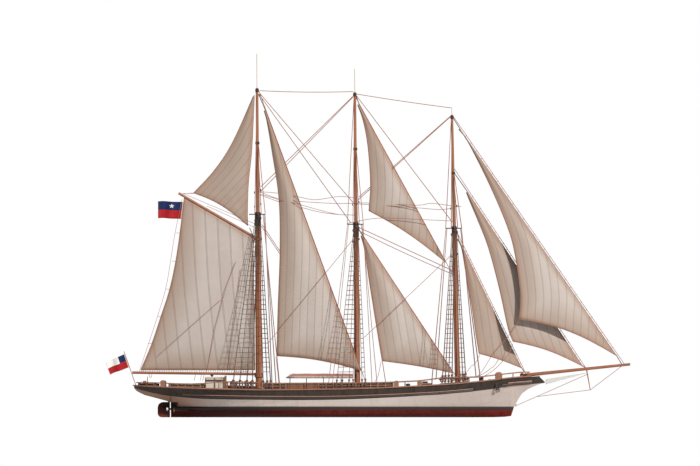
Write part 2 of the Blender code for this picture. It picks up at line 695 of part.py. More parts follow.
def make_masts():
    trimmer = bpy.data.objects["deck_trimmer"]
    for row in MASTS:
        name, _, _, _, _, top_r, low, high, low_r, _, _, _ = row
        base_x, slope = mast_axis(row)
        mast = turned(lower_profile(row), base_x, slope)
        boolean(mast, trimmer, "DIFFERENCE")
        publish(mast, name + "_mast", "varnished_wood")
        publish(turned(top_profile(row), base_x, slope), name + "_topmast", "varnished_wood")
        sleeve_r = top_r + 0.03
        sleeve = turned([(low_r + 0.04, high), (sleeve_r, high - 0.15), (sleeve_r, low + SEAT_GAP)],
                        base_x, slope)
        x = base_x + slope * (high - 0.2)
        arms = box((x - CROSSTREE_AFT, x + CROSSTREE_FORE), (-0.12, 0.12),
                   (high - 0.28, high - 0.18))
        boolean(sleeve, arms, "UNION")
        spreader = box((x - CROSSTREE_HALF, x + CROSSTREE_HALF),
                       (-CROSSTREE_SPREAD, CROSSTREE_SPREAD), (high - 0.32, high - 0.22))
        boolean(sleeve, spreader, "UNION")
        publish(sleeve, name + "_crosstrees", "black_iron")
        clear = turned(lower_profile(row, SEAT_GAP), base_x, slope, name=name + "_lower_trimmer")
        upper = turned(top_profile(row, SEAT_GAP), base_x, slope, name=name + "_upper_trimmer")
        middle = turned([(sleeve_r + SEAT_GAP, high), (sleeve_r + SEAT_GAP, low)], base_x, slope,
                        name=name + "_sleeve_trimmer")
        for shape in (clear, upper, middle):
            shape.hide_render = True


def make_shrouds():
    for row in MASTS:
        name, top_r, high = row[0], row[5], row[7]
        feet = sorted(SHROUD_FEET[name])
        for side, side_name in ((1, "port"), (-1, "starboard")):
            top = high - 0.42
            x = mast_x(name, top)
            reach = top_r + 0.03 + SEAT_GAP
            lines = []
            for i, foot_x in enumerate(feet):
                top_x = x + (i - (len(feet) - 1) / 2) * SHROUD_STEP
                foot_y = rail_half(foot_x) + 0.05
                foot_z = sheer(foot_x) + CAP_THICK + SEAT_GAP + 0.02
                lines.append(spar((top_x, side * (reach + 0.06), top),
                                  (foot_x, side * foot_y, foot_z), SHROUD_RADIUS, sides=8))
            half = len(feet) / 2 * SHROUD_STEP
            seizing = box((x - half, x + half), sorted((side * reach, side * (reach + 0.12))),
                          (top - 0.10, top + 0.08))
            fan = merge([seizing, channel(side, min(feet), max(feet))], "seizing")
            boolean(fan, merge(lines, "shroud_lines"), "UNION")
            boolean(fan, bpy.data.objects["cap_trimmer"], "DIFFERENCE")
            publish(fan, "%s_shrouds_%s" % (name, side_name), "rope")


def channel(side, aft_x, fore_x):
    """The plank on the cap that takes the feet of one side's shrouds."""
    rings = []
    for x in np.linspace(aft_x - 0.2, fore_x + 0.2, 7):
        top = sheer(x) + CAP_THICK + 0.08
        half = rail_half(x)
        corners = ((half - 0.04, top - 0.2), (half + 0.12, top - 0.2), (half + 0.12, top),
                   (half - 0.04, top))
        rings.append([(x, side * y, z) for y, z in corners])
    return loft(rings, "channel")


def bowsprit_spar(extra=0.0):
    heel, end = Vector(BOWSPRIT_HEEL), Vector(BOWSPRIT_END)
    more = (end - heel).normalized() * extra
    return spar(heel - more, end + more, BOWSPRIT_RADII[0] + extra, BOWSPRIT_RADII[1] + extra,
                sides=20)


def striker_spar(extra=0.0):
    return spar((STRIKER_X, 0, 3.95), STRIKER_TIP, 0.07 + extra, 0.04 + extra, sides=12)


def make_bowsprit():
    publish(bowsprit_spar(), "bowsprit", "varnished_wood")
    trimmer = bowsprit_spar(SEAT_GAP)
    trimmer.name = "bowsprit_trimmer"
    striker = striker_spar()
    tip_x, _, tip_z = STRIKER_TIP
    knee = (STRIKER_X + 0.04, 0.0, 3.35)
    eye = (BOBSTAY_EYE_X + 0.0125, 0.0, 0.28)
    branch = Vector(eye).lerp(Vector(knee), 0.28)
    for start, end in ((eye, knee), (branch, (tip_x, 0.0, tip_z + 0.04)),
                       ((tip_x, 0.0, tip_z + 0.04), (28.45, 0.0, 4.32))):
        boolean(striker, spar(start, end, 0.028, sides=8), "UNION")
    boolean(striker, trimmer, "DIFFERENCE")
    publish(striker, "martingale", "black_iron")
    make_net()


def make_net():
    """The safety net slung under the bowsprit, a shallow trough that narrows forward."""
    rows, columns = 7, 6
    bm = bmesh.new()
    grid = []
    for i in range(rows):
        share = i / (rows - 1)
        x = NET_AFT_X + (STRIKER_X + 0.06 - NET_AFT_X) * share
        half = 0.62 * (1 - share) + 0.04 * share
        edge = 2.86 + (3.52 - 2.86) * share
        sag = 0.50 * (1 - share) + 0.03 * share
        line = []
        for j in range(columns + 1):
            across = -1 + 2 * j / columns
            line.append(bm.verts.new(place(x, half * across, edge - sag * (1 - across ** 2))))
        grid.append(line)
    for near, far in zip(grid, grid[1:]):
        for j in range(columns):
            bm.faces.new((near[j], near[j + 1], far[j + 1], far[j]))
    net = finish_mesh("net", bm, smooth=True)
    thicken(net, CLOTH_THICK)
    boolean(net, striker_spar(SEAT_GAP), "DIFFERENCE")
    publish(net, "bowsprit_net", "net_cord")


def thicken(obj, thickness):
    solid = obj.modifiers.new("thickness", "SOLIDIFY")
    solid.thickness = thickness * SCALE
    solid.offset = 0.0
    return obj


def make_stays():
    ends = {"mizzen_topmast_stay": ("mizzen_upper_trimmer",),
            "main_topmast_stay": ("main_upper_trimmer", "fore_lower_trimmer"),
            "main_stay": ("main_sleeve_trimmer", "fore_lower_trimmer"),
            "fore_stay": ("fore_sleeve_trimmer", "bowsprit_trimmer"),
            "inner_jib_stay": ("fore_upper_trimmer", "bowsprit_trimmer"),
            "outer_jib_stay": ("fore_upper_trimmer", "bowsprit_trimmer")}
    for name, upper, lower in STAYS:
        if name == "mizzen_topmast_stay":
            upper_v, lower_v = Vector(upper), Vector(lower)
            lower = lower_v + (lower_v - upper_v).normalized() * 2.6
            lower = tuple(lower)
        stay = spar(upper, lower, STAY_RADIUS, sides=8)
        for trimmer in ends[name]:
            boolean(stay, bpy.data.objects[trimmer], "DIFFERENCE")
        if name == "mizzen_topmast_stay":
            boolean(stay, bpy.data.objects["deck_trimmer"], "DIFFERENCE")
        publish(stay, name, "rope")


# Sails

def along(points, share):
    """The point at a share of a polyline's length."""
    points = np.array(points, float)
    steps = np.linalg.norm(np.diff(points, axis=0), axis=1)
    reached = np.concatenate(([0.0], np.cumsum(steps))) / steps.sum()
    return np.array([np.interp(share, reached, points[:, k]) for k in range(points.shape[1])])


def turn_allowance(edge, inner):
    """How far an edge backs off, so that thickness on a leaning sheet doesn't pass it."""
    lean = inner - edge
    flat = Vector((lean.x, 0.0, lean.z)).normalized()
    return flat * (0.8 * CLOTH_THICK * abs(lean.y) / lean.length)


def cloth(name, luff, leech, hollow, clew_out, belly, luff_out=0.0, head_slack=0.12, rows=9,
          columns=7, material="sail_cloth"):
    """A sail between its luff and leech, both from low to high, bellied to starboard."""
    grid = []
    for i in range(rows):
        up = i / (rows - 1)
        front, back = along(luff, up), along(leech, up)
        fill = belly * math.sin(math.pi * (0.12 + (0.88 - head_slack) * up))
        line = []
        for j in range(columns):
            across = j / (columns - 1)
            x, z = front + (back - front) * across
            z += hollow * math.sin(math.pi * across) * (1 - up) ** 3
            y = -luff_out * (1 - up) * (1 - across) - clew_out * across * (1 - up)
            line.append(Vector((x, y - fill * math.sin(math.pi * across), z)))
        grid.append(line)
    for line in grid:
        line[0] += turn_allowance(line[0], line[1])
    if head_slack == 0:
        for top, below in zip(grid[-1][1:], grid[-2][1:]):
            top += turn_allowance(top, below)
    bm = bmesh.new()
    verts = [[bm.verts.new(place(*point)) for point in line] for line in grid]
    for low, high in zip(verts, verts[1:]):
        for j in range(columns - 1):
            bm.faces.new((low[j], low[j + 1], high[j + 1], high[j]))
    sheet = finish_mesh(name, bm, smooth=True)
    thicken(sheet, CLOTH_THICK)
    return publish(sheet, name, material)


def stay_point(name, z, clear=0.0):
    """A point on a stay at height z, moved square to it towards the sail."""
    _, upper, lower = next(row for row in STAYS if row[0] == name)
    share = (upper[2] - z) / (upper[2] - lower[2])
    spot = Vector(upper).lerp(Vector(lower), share)
    run = (Vector(lower) - Vector(upper)).normalized()
    aft = Vector((run.z, 0.0, -run.x)).normalized()
    return spot + aft * clear


def make_sails():
    for name, stay, gap, low, high, leech, hollow, clew_out, belly in STAYSAILS:
        seat = STAY_RADIUS + gap
        luff = [(point.x, point.z) for point in (stay_point(stay, z, seat) for z in (low, high))]
        luff_out = -stay_point(stay, low).y
        leech += ((luff[-1][0] - HEADBOARD, luff[-1][1] - HEADBOARD / 3),)
        cloth(name, luff, leech, hollow, clew_out, belly, luff_out)
    make_spanker()


def gaff_point(x, drop=0.0):
    """A point on the gaff's axis at x, moved square to it, downwards."""
    jaw = Vector((mast_x("mizzen", GAFF_JAW_Z), 0.0, GAFF_JAW_Z))
    peak = Vector(GAFF_PEAK)
    spot = jaw.lerp(peak, (x - jaw.x) / (peak.x - jaw.x))
    run = (peak - jaw).normalized()
    return spot + Vector((-run.z, 0.0, run.x)) * drop


def boom_point(x, up=0.0):
    jaw = Vector((mast_x("mizzen", BOOM_Z), 0.0, BOOM_Z))
    end = Vector(BOOM_END)
    return jaw.lerp(end, (x - jaw.x) / (end.x - jaw.x)) + Vector((0.0, 0.0, up))


def jaws(z, mast_radius):
    """A collar round the mizzen mast, bored with a running clearance."""
    row = MASTS[0]
    base_x, slope = mast_axis(row)
    inner = mast_radius + JAW_CLEAR
    top, low = z + JAW_HALF_HEIGHT, z - JAW_HALF_HEIGHT
    collar = turned([(inner + JAW_WALL, top), (inner + JAW_WALL, low)], base_x, slope, sides=24)
    bore = turned([(inner, top + 0.2), (inner, low - 0.2)], base_x, slope, sides=24)
    return collar, bore


def make_spanker():
    collar, bore = jaws(BOOM_Z, 0.32)
    boolean(collar, spar(boom_point(-8.25), BOOM_END, BOOM_RADIUS, sides=16), "UNION")
    tack_x, clew_x, foot_z = -8.50, -19.83, 3.80
    lugs = [spar(boom_point(x), (x, 0.0, foot_z - SEAT_GAP), 0.03, sides=8)
            for x in (tack_x - 0.12, clew_x + 0.12)]
    boolean(collar, merge(lugs, "lugs"), "UNION")
    boolean(collar, bore, "DIFFERENCE")
    publish(collar, "boom", "varnished_wood")

    collar, bore = jaws(GAFF_JAW_Z, 0.30)
    boolean(collar, spar(gaff_point(-8.42), GAFF_PEAK, GAFF_RADIUS, sides=16), "UNION")
    clew = Vector((TOPSAIL_LEECH[0][0], 0.0, TOPSAIL_LEECH[0][1]))
    sheet = spar(gaff_point(-15.9), clew + Vector((-0.0016, 0.0, -0.0005)), 0.025, sides=8)
    boolean(collar, sheet, "UNION")
    boolean(collar, bore, "DIFFERENCE")
    publish(collar, "gaff", "varnished_wood")

    seat = GAFF_RADIUS + GAFF_SEAM
    throat, peak = gaff_point(-8.52, seat), gaff_point(-15.42, seat)
    cloth("spanker", [(-8.40, foot_z), (throat.x, throat.z)],
          ((clew_x, foot_z),) + SPANKER_LEECH[1:] + ((peak.x, peak.z),), 0.0, 0.0, 0.45,
          head_slack=0.0, rows=10, columns=9)
    cloth("gaff_topsail", TOPSAIL_LUFF, TOPSAIL_LEECH, 0.43, 0.0, 0.25)
    cloth("house_flag", [(-15.7555, 18.9), (-15.5535, 20.6)], [(-18.1, 19.0), (-18.1, 20.7)],
          0.0, 0.0, 0.12, rows=4, columns=7, material="flag_cloth")


# Deck houses and gear

def on_deck(shape, name, material):
    boolean(shape, bpy.data.objects["deck_trimmer"], "DIFFERENCE")
    return publish(shape, name, material)


def make_houses():
    house = box((-13.32, -11.48), (-1.2, 1.2), (1.0, 3.02))
    boolean(house, box((-13.42, -11.38), (-1.3, 1.3), (3.00, 3.12)), "UNION")
    on_deck(house, "deckhouse", "white_paint")
    saloon = box((-5.45, -2.11), (-1.25, 1.25), (1.0, 2.40))
    boolean(saloon, box((-5.50, -2.06), (-1.32, 1.32), (2.38, 2.50)), "UNION")
    on_deck(saloon, "saloon_house", "brown_wood")
    hatch = box((7.9, 9.3), (-0.7, 0.7), (1.4, 2.42))
    boolean(hatch, box((7.85, 9.35), (-0.76, 0.76), (2.36, 2.46)), "UNION")
    on_deck(hatch, "main_hatch", "brown_wood")


AWNING_X = (-5.33, 1.45)
AWNING_HALF = 1.75
AWNING_EAVE_Z = 3.10
AWNING_RIDGE_Z = 3.42
AWNING_POSTS_X = (-4.9, -3.25, -1.55, 0.2)


def make_awning():
    """A canopy sheet with turned-down edges on a frame of posts and bars."""
    ridge, eave, half = AWNING_RIDGE_Z, AWNING_EAVE_Z, AWNING_HALF
    section = [(half, eave - 0.12), (half, eave), (half * 0.55, (eave + ridge) / 2 + 0.05),
               (0.0, ridge)]
    section += [(-y, z) for y, z in reversed(section[:-1])]
    bm = bmesh.new()
    places = np.linspace(*AWNING_X, 5)
    grid = [[bm.verts.new(place(x, y, z)) for y, z in section] for x in places]
    for near, far in zip(grid, grid[1:]):
        for j in range(len(section) - 1):
            bm.faces.new((near[j], near[j + 1], far[j + 1], far[j]))
    publish(thicken(finish_mesh("awning", bm), CLOTH_THICK), "awning", "red_canvas")
    bar_z = eave - 0.09
    frame = None
    for side in (-1, 1):
        y = side * (half - 0.10)
        bar = spar((AWNING_X[0] + 0.1, y, bar_z), (AWNING_X[1] - 0.1, y, bar_z), 0.04, sides=8)
        frame = bar if frame is None else boolean(frame, bar, "UNION")
    for x in AWNING_POSTS_X:
        for side in (-1, 1):
            y = side * (half - 0.10)
            boolean(frame, spar((x, y, 1.0), (x, y, bar_z + 0.013), 0.035, sides=7), "UNION")
        reach = half - 0.11
        boolean(frame, spar((x, -reach, bar_z - 0.006), (x, reach, bar_z - 0.006), 0.027, sides=9),
                "UNION")
        boolean(frame, spar((x, 0.001, bar_z), (x, 0.001, ridge - 0.0125), 0.02, sides=7), "UNION")
    on_deck(frame, "awning_frame", "black_iron")


def make_windlass():
    barrel = spar((14.2, -0.8, 2.72), (14.2, 0.8, 2.72), 0.20, sides=16)
    for side in (-1, 1):
        boolean(barrel, box((14.0, 14.4), sorted((side * 0.45, side * 0.65)), (1.8, 3.20)),
                "UNION")
    on_deck(barrel, "windlass", "black_iron")


def make_fife_rail():
    """A rail on posts just ahead of the fore mast, for belaying its halyards."""
    rail = box((12.35, 12.60), (-0.9, 0.9), (3.10, 3.22))
    for y in (-0.75, 0.75):
        boolean(rail, box((12.40, 12.55), (y - 0.07, y + 0.07), (1.8, 3.45)), "UNION")
    for y in (-0.45, -0.15, 0.15, 0.45):
        boolean(rail, spar((12.475, y, 2.90), (12.475, y, 3.40), 0.025, sides=8), "UNION")
    on_deck(rail, "fife_rail", "varnished_wood")


def make_bowsprit_bitts():
    """Two posts and a cross piece that hold the bowsprit's heel."""
    bitts = box((18.16, 18.42), (-0.35, 0.35), (2.96, 3.26))
    for side in (-1, 1):
        boolean(bitts, box((18.18, 18.40), sorted((side * 0.20, side * 0.42)), (2.2, 3.55)),
                "UNION")
    boolean(bitts, bpy.data.objects["bowsprit_trimmer"], "DIFFERENCE")
    on_deck(bitts, "bowsprit_bitts", "varnished_wood")


def make_anchors():
    x, y, z = HAWSE
    for side, name in ((1, "anchor_port"), (-1, "anchor_starboard")):
        near = side * (y + SEAT_GAP)
        shank = box((x - 0.40, x + 0.42), sorted((near, near + side * 0.10)), (z + 0.02, z + 0.14))
        arms = box((x - 0.45, x - 0.33), sorted((near, near + side * 0.12)), (z - 0.30, z + 0.32))
        boolean(shank, arms, "UNION")
        for way in (-1, 1):
            fluke = box((x - 0.42, x - 0.10), sorted((near, near + side * 0.12)),
                        sorted((z + 0.08 + way * 0.22, z + 0.08 + way * 0.34)))
            boolean(shank, fluke, "UNION")
        publish(shank, name, "black_iron")


def make_ensign():
    staff = spar(STAFF_FOOT, STAFF_TOP, STAFF_RADIUS, sides=10)
    boolean(staff, bpy.data.objects["cap_trimmer"], "DIFFERENCE")
    publish(staff, "ensign_staff", "varnished_wood")
    foot, top = Vector(STAFF_FOOT), Vector(STAFF_TOP)
    run = (top - foot).normalized()
    aft = Vector((-run.z, 0.0, run.x)) * (STAFF_RADIUS + SEAT_GAP)
    low = foot + run * 1.90 + aft
    high = foot + run * 3.30 + aft
    flag = cloth("ensign", [(low.x, low.z), (high.x, high.z)],
                 [(low.x - 1.9, low.z - 0.72), (high.x - 1.9, high.z - 0.85)],
                 0.0, 0.0, 0.14, rows=4, columns=7, material="flag_cloth")
    flag.location.y = STAFF_FOOT[1] * SCALE


def main():
    global ship, cutters
    clear_scene()
    ship = make_collection("Schooner")
    cutters = make_collection("Cutters")
    make_materials()
    make_deck_trimmer()
    make_rail_trimmers()
    make_hull()
    make_deck()
    make_rails()
    make_rudder()
    make_helm()
    make_propellers()
    make_masts()
    make_shrouds()
    make_bowsprit()
    make_stays()
    make_sails()
    make_houses()
    make_awning()
    make_windlass()
    make_fife_rail()
    make_bowsprit_bitts()
    make_anchors()
    make_ensign()


main()
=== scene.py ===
# %% [markdown]
# # A three-masted schooner under sail, as a 1:2 model
#
# The solid parts of the ship come from a fixed frame. This script dresses that frame: it gives the
# solids their paint and timber, swaps the plain sheets for fine sails and flags, and adds the
# mouldings and the running rigging. All tables are in metres of the real ship, +X to the bow,
# +Y to port and +Z up, with height 0 at the waterline. `SCALE` halves them to the model's size.

# %% Load the frame
import math

import bpy
import numpy as np
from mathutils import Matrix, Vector


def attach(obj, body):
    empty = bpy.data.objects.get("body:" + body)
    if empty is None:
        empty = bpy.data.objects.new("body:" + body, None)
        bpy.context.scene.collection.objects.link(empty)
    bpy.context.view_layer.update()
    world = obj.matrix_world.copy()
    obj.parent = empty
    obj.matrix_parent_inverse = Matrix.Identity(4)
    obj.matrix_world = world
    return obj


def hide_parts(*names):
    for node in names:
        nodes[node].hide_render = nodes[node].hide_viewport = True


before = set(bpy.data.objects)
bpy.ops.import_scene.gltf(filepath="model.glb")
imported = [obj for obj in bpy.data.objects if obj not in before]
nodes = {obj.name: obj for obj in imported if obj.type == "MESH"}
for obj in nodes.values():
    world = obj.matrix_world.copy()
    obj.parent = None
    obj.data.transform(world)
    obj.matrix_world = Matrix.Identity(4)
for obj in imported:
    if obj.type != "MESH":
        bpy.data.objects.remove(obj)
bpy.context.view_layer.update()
SCALE = 0.5


def at(x, y, z):
    """A point of the real ship, on the model."""
    return Vector((x, y, z)) * SCALE


# %% [markdown]
# ## Camera, light and floor
#
# The photograph is a pure side view with almost no perspective, so the camera stands far off with
# a long lens. It stands at the height of the floor, which is the water's surface: the floor is
# then seen edge on and hides nothing of the hull under water. One broad sun comes from ahead of
# the bow and the viewer's side, low enough to throw the outer jib's shadow on the next sail.

# %% Camera
FRAME_WIDTH = 35.0           # metres of the model across the picture
LENS, SENSOR = 600.0, 36.0   # millimetres
AIM = Vector((0.55, 0.0, 8.75))
camera_data = bpy.data.cameras.new("camera")
camera_data.lens, camera_data.sensor_width = LENS, SENSOR
distance = FRAME_WIDTH * LENS / SENSOR
camera_data.clip_end = 4000.0
camera = bpy.data.objects.new("camera", camera_data)
bpy.context.scene.collection.objects.link(camera)
camera.location = (AIM.x, -distance, 0.0)
camera.rotation_euler = (AIM - camera.location).to_track_quat("-Z", "Y").to_euler()
bpy.context.scene.camera = camera
print("camera stands off", round(distance, 1), "m")

# %% Light and floor
SUN_STRENGTH, SKY_STRENGTH, FLOOR_SIZE = 3.35, 0.34, 160.0
sun_data = bpy.data.lights.new("sun", "SUN")
sun_data.energy = SUN_STRENGTH
sun_data.angle = math.radians(3.0)
sun_data.color = (1.0, 0.97, 0.93)
sun = bpy.data.objects.new("sun", sun_data)
bpy.context.scene.collection.objects.link(sun)
towards_sun = Vector((1.15, -1.75, 1.25))
sun.rotation_euler = towards_sun.to_track_quat("Z", "Y").to_euler()

world = bpy.data.worlds.new("studio")
world.use_nodes = True
bpy.context.scene.world = world
sky = world.node_tree
sky_light = sky.nodes["Background"]
sky_light.inputs["Color"].default_value = (0.95, 0.97, 1.0, 1.0)
sky_light.inputs["Strength"].default_value = SKY_STRENGTH
paper = sky.nodes.new("ShaderNodeBackground")
paper.inputs["Color"].default_value = (1.0, 1.0, 1.0, 1.0)
seen = sky.nodes.new("ShaderNodeLightPath")
choose = sky.nodes.new("ShaderNodeMixShader")
sky.links.new(seen.outputs["Is Camera Ray"], choose.inputs[0])
sky.links.new(sky_light.outputs[0], choose.inputs[1])
sky.links.new(paper.outputs[0], choose.inputs[2])
sky.links.new(choose.outputs[0], sky.nodes["World Output"].inputs["Surface"])
bpy.context.scene.view_settings.view_transform = "Standard"
print("sun and sky ready")

# %% Floor
def deselect():
    for obj in bpy.context.selected_objects:
        obj.select_set(False)


deselect()
bpy.ops.mesh.primitive_plane_add(size=FLOOR_SIZE, location=(0.0, 0.0, 0.0))
floor = bpy.context.object
floor.name = "floor"
floor.visible_shadow = False
concrete = bpy.data.materials.new("pale_floor")
concrete.use_nodes = True
floor_shader = concrete.node_tree.nodes["Principled BSDF"]
floor_shader.inputs["Base Color"].default_value = (0.8, 0.8, 0.8, 1)
floor_shader.inputs["Roughness"].default_value = 0.9
floor.data.materials.append(concrete)
print("sun from", [round(c, 2) for c in towards_sun.normalized()])

# %% [markdown]
# ## Shader helpers
#
# Every finish here is a node tree. Small functions keep the trees readable: they place a node, do
# sums with sockets, read noise or a UV map, and start a node group or a material. Groups hold what
# several finishes share, and put out colours, masks and heights only, so that they can be baked.

# %% Helpers for node trees
def fill(tree, node, values):
    """Give a node's inputs, by name or place, a link from a socket or a plain value."""
    for name, value in values.items():
        if isinstance(value, bpy.types.NodeSocket):
            tree.links.new(value, node.inputs[name])
        else:
            node.inputs[name].default_value = value
    return node


def put(tree, kind, values=None, **settings):
    """A node with its settings, and links or values for its inputs."""
    made = tree.nodes.new(kind)
    for name, value in settings.items():
        setattr(made, name, value)
    return fill(tree, made, values or {})


def mix(tree, share, dark, light, blend="MIX"):
    """Mix two colours; each of the three is a socket or a plain value."""
    return put(tree, "ShaderNodeMix", {0: share, 6: dark, 7: light}, data_type="RGBA",
               blend_type=blend).outputs[2]


def sums(tree, operation, *values):
    """A Math node on sockets or numbers."""
    return put(tree, "ShaderNodeMath", dict(enumerate(values)), operation=operation).outputs[0]


def ramp(tree, value, low, high, start=0.0, end=1.0):
    """Map a socket's range low to high smoothly onto start to end."""
    return put(tree, "ShaderNodeMapRange", {0: value, 1: low, 2: high, 3: start, 4: end},
               interpolation_type="SMOOTHSTEP").outputs[0]


print("node helpers ready")

# %% Helpers for groups and materials
def new_group(name, inputs, outputs):
    """An empty shader group; inputs are (name, kind, value), outputs are (name, kind)."""
    group = bpy.data.node_groups.new(name, "ShaderNodeTree")
    for label, kind, value in inputs:
        socket = group.interface.new_socket(label, in_out="INPUT", socket_type="NodeSocket" + kind)
        socket.default_value = value
    for label, kind in outputs:
        group.interface.new_socket(label, in_out="OUTPUT", socket_type="NodeSocket" + kind)
    return group, group.nodes.new("NodeGroupInput"), group.nodes.new("NodeGroupOutput")


def new_material(name, roughness, metallic=0.0, **sockets):
    """A material with constants on its Principled shader; returns material, tree, shader."""
    material = bpy.data.materials.new(name)
    material.use_nodes = True
    tree = material.node_tree
    shader = fill(tree, tree.nodes["Principled BSDF"],
                  {"Roughness": roughness, "Metallic": metallic,
                   **{socket.replace("_", " "): value for socket, value in sockets.items()}})
    return material, tree, shader


def place_group(tree, name, vector=None, **values):
    """Place a shared group in a material with its own values."""
    if vector is not None:
        values["Vector"] = vector
    return put(tree, "ShaderNodeGroup", values, node_tree=bpy.data.node_groups[name])


def bumped(tree, shader, height, strength, reach):
    """Feed a height into the shader's normal through a Bump node."""
    made = put(tree, "ShaderNodeBump", {"Strength": strength, "Distance": reach, "Height": height})
    fill(tree, shader, {"Normal": made.outputs["Normal"]})


print("group and material helpers ready")

# %% Helpers for points, axes and noise
def object_point(tree):
    return put(tree, "ShaderNodeTexCoord").outputs["Object"]


def times(tree, first, second):
    return sums(tree, "MULTIPLY", first, second)


def plus(tree, first, second):
    return sums(tree, "ADD", first, second)


def minus(tree, first, second):
    return sums(tree, "SUBTRACT", first, second)


def split(tree, vector):
    """The X, Y and Z of a vector socket."""
    return put(tree, "ShaderNodeSeparateXYZ", {0: vector}).outputs


def uv_axes(tree, uv_map):
    """The axes of a UV map."""
    return split(tree, put(tree, "ShaderNodeUVMap", uv_map=uv_map).outputs["UV"])


def noise(tree, point, scale, detail, roughness=0.5):
    """Noise read at a point, from zero to one."""
    return put(tree, "ShaderNodeTexNoise", {"Vector": point, "Scale": scale, "Detail": detail,
                                            "Roughness": roughness}).outputs["Fac"]


print("shader helpers ready")

# %% [markdown]
# ## Shared effects
#
# Timber grain is noise drawn out along the wood. Worn edges compare the real normal with a
# rounded one: they differ only near an edge. Weathering is soft noise drawn down the sides, as
# rain leaves it. Canvas has a crossed thread pattern. Each is a group used by several finishes.

# %% Timber grain
grain, g_in, g_out = new_group(
    "timber_grain",
    [("Vector", "Vector", (0, 0, 0)), ("Stretch", "Vector", (9, 9, 0.8)),
     ("Light", "Color", (0.5, 0.3, 0.2, 1)), ("Dark", "Color", (0.2, 0.1, 0.05, 1)),
     ("Contrast", "Float", 0.5)],
    [("Color", "Color"), ("Height", "Float")])
drawn = put(grain, "ShaderNodeVectorMath", {0: g_in.outputs["Vector"], 1: g_in.outputs["Stretch"]},
            operation="MULTIPLY")
figure = noise(grain, drawn.outputs[0], 1.0, 6.0, 0.62)
fine = noise(grain, drawn.outputs[0], 7.0, 3.0)
veins = plus(grain, times(grain, figure, 0.7), times(grain, fine, 0.3))
share = ramp(grain, veins, 0.3, 0.7)
share = plus(grain, times(grain, minus(grain, share, 0.5), g_in.outputs["Contrast"]), 0.5)
fill(grain, g_out, {"Color": mix(grain, share, g_in.outputs["Dark"], g_in.outputs["Light"]),
                    "Height": veins})
print("group:", grain.name)

# %% Worn edges and weathering
wear, w_in, w_out = new_group(
    "worn_edge", [("Radius", "Float", 0.012), ("Amount", "Float", 0.8)], [("Mask", "Float")])
rounded = put(wear, "ShaderNodeBevel", {"Radius": w_in.outputs["Radius"]}, samples=4)
true_normal = put(wear, "ShaderNodeNewGeometry")
facing = put(wear, "ShaderNodeVectorMath",
             {0: rounded.outputs[0], 1: true_normal.outputs["Normal"]}, operation="DOT_PRODUCT")
ridge = ramp(wear, facing.outputs["Value"], 0.97, 0.80)
chips = noise(wear, object_point(wear), 23.0, 4.0)
ridge = times(wear, ridge, ramp(wear, chips, 0.40, 0.58))
fill(wear, w_out, {"Mask": times(wear, ridge, w_in.outputs["Amount"])})

weather, e_in, e_out = new_group(
    "weathering", [("Vector", "Vector", (0, 0, 0)), ("Scale", "Float", 1.0),
                   ("Low", "Float", 0.45), ("High", "Float", 0.75)], [("Mask", "Float")])
runs = put(weather, "ShaderNodeMapping", {"Scale": (3.2, 3.2, 0.55),
                                          "Vector": e_in.outputs["Vector"]})
stain = noise(weather, runs.outputs[0], e_in.outputs["Scale"], 6.0, 0.6)
fill(weather, e_out, {"Mask": ramp(weather, stain, e_in.outputs["Low"], e_in.outputs["High"])})
print("groups:", wear.name, weather.name)

# %% Canvas threads
canvas, c_in, c_out = new_group(
    "canvas_weave", [("Vector", "Vector", (0, 0, 0)), ("Threads", "Float", 900.0)],
    [("Height", "Float")])
warp, weft = [put(canvas, "ShaderNodeTexWave", {"Distortion": 0.4, "Detail": 1.0,
                                                "Vector": c_in.outputs["Vector"],
                                                "Scale": c_in.outputs["Threads"]},
                  wave_type="BANDS", bands_direction=way).outputs["Fac"] for way in "XY"]
fill(canvas, c_out, {"Height": sums(canvas, "MAXIMUM", warp, weft)})
print("group:", canvas.name)

# %% [markdown]
# ## The hull's paint
#
# The steel hull is one solid, so its paint is laid out by height. Under the cap is a dark band,
# then white topsides, the black boot-top at the waterline and red bottom paint. The white band's
# upper edge follows the sheer, so its height is read from a curve along the ship. Thin raised
# mouldings are separate pieces. Plates are welded in strakes: faint seams break up the paint.

# %% The white band's upper edge
# columns: x of the real ship, height of the white topsides' upper edge
TOPSIDE_EDGE = ((-20.6, 2.05), (-19.0, 1.60), (-17.0, 1.22), (-14.8, 1.00), (-13.9, 0.93),
                (-7.9, 0.82), (-1.9, 0.80), (4.1, 1.00), (10.1, 1.37), (14.1, 1.74), (16.6, 2.10),
                (17.6, 2.30), (19.1, 2.38), (20.6, 2.52))
BOOT_TOP = (0.15, -0.19)     # upper and lower edge of the black band


def curve_along(tree, x_socket, table):
    """A height read from a table along X, through a Float Curve, in model metres."""
    low, high = table[0][0], table[-1][0]
    place = put(tree, "ShaderNodeMapRange", {0: x_socket, 1: low * SCALE, 2: high * SCALE})
    made = put(tree, "ShaderNodeFloatCurve", {"Value": place.outputs[0]})
    curve = made.mapping.curves[0]
    tallest = max(height for _, height in table) * 1.05
    points = [((x - low) / (high - low), height / tallest) for x, height in table]
    curve.points[0].location = points[0]
    curve.points[-1].location = points[-1]
    for point in points[1:-1]:
        curve.points.new(*point)
    made.mapping.update()
    return times(tree, made.outputs[0], tallest * SCALE)


print("white edge given at", len(TOPSIDE_EDGE), "stations")

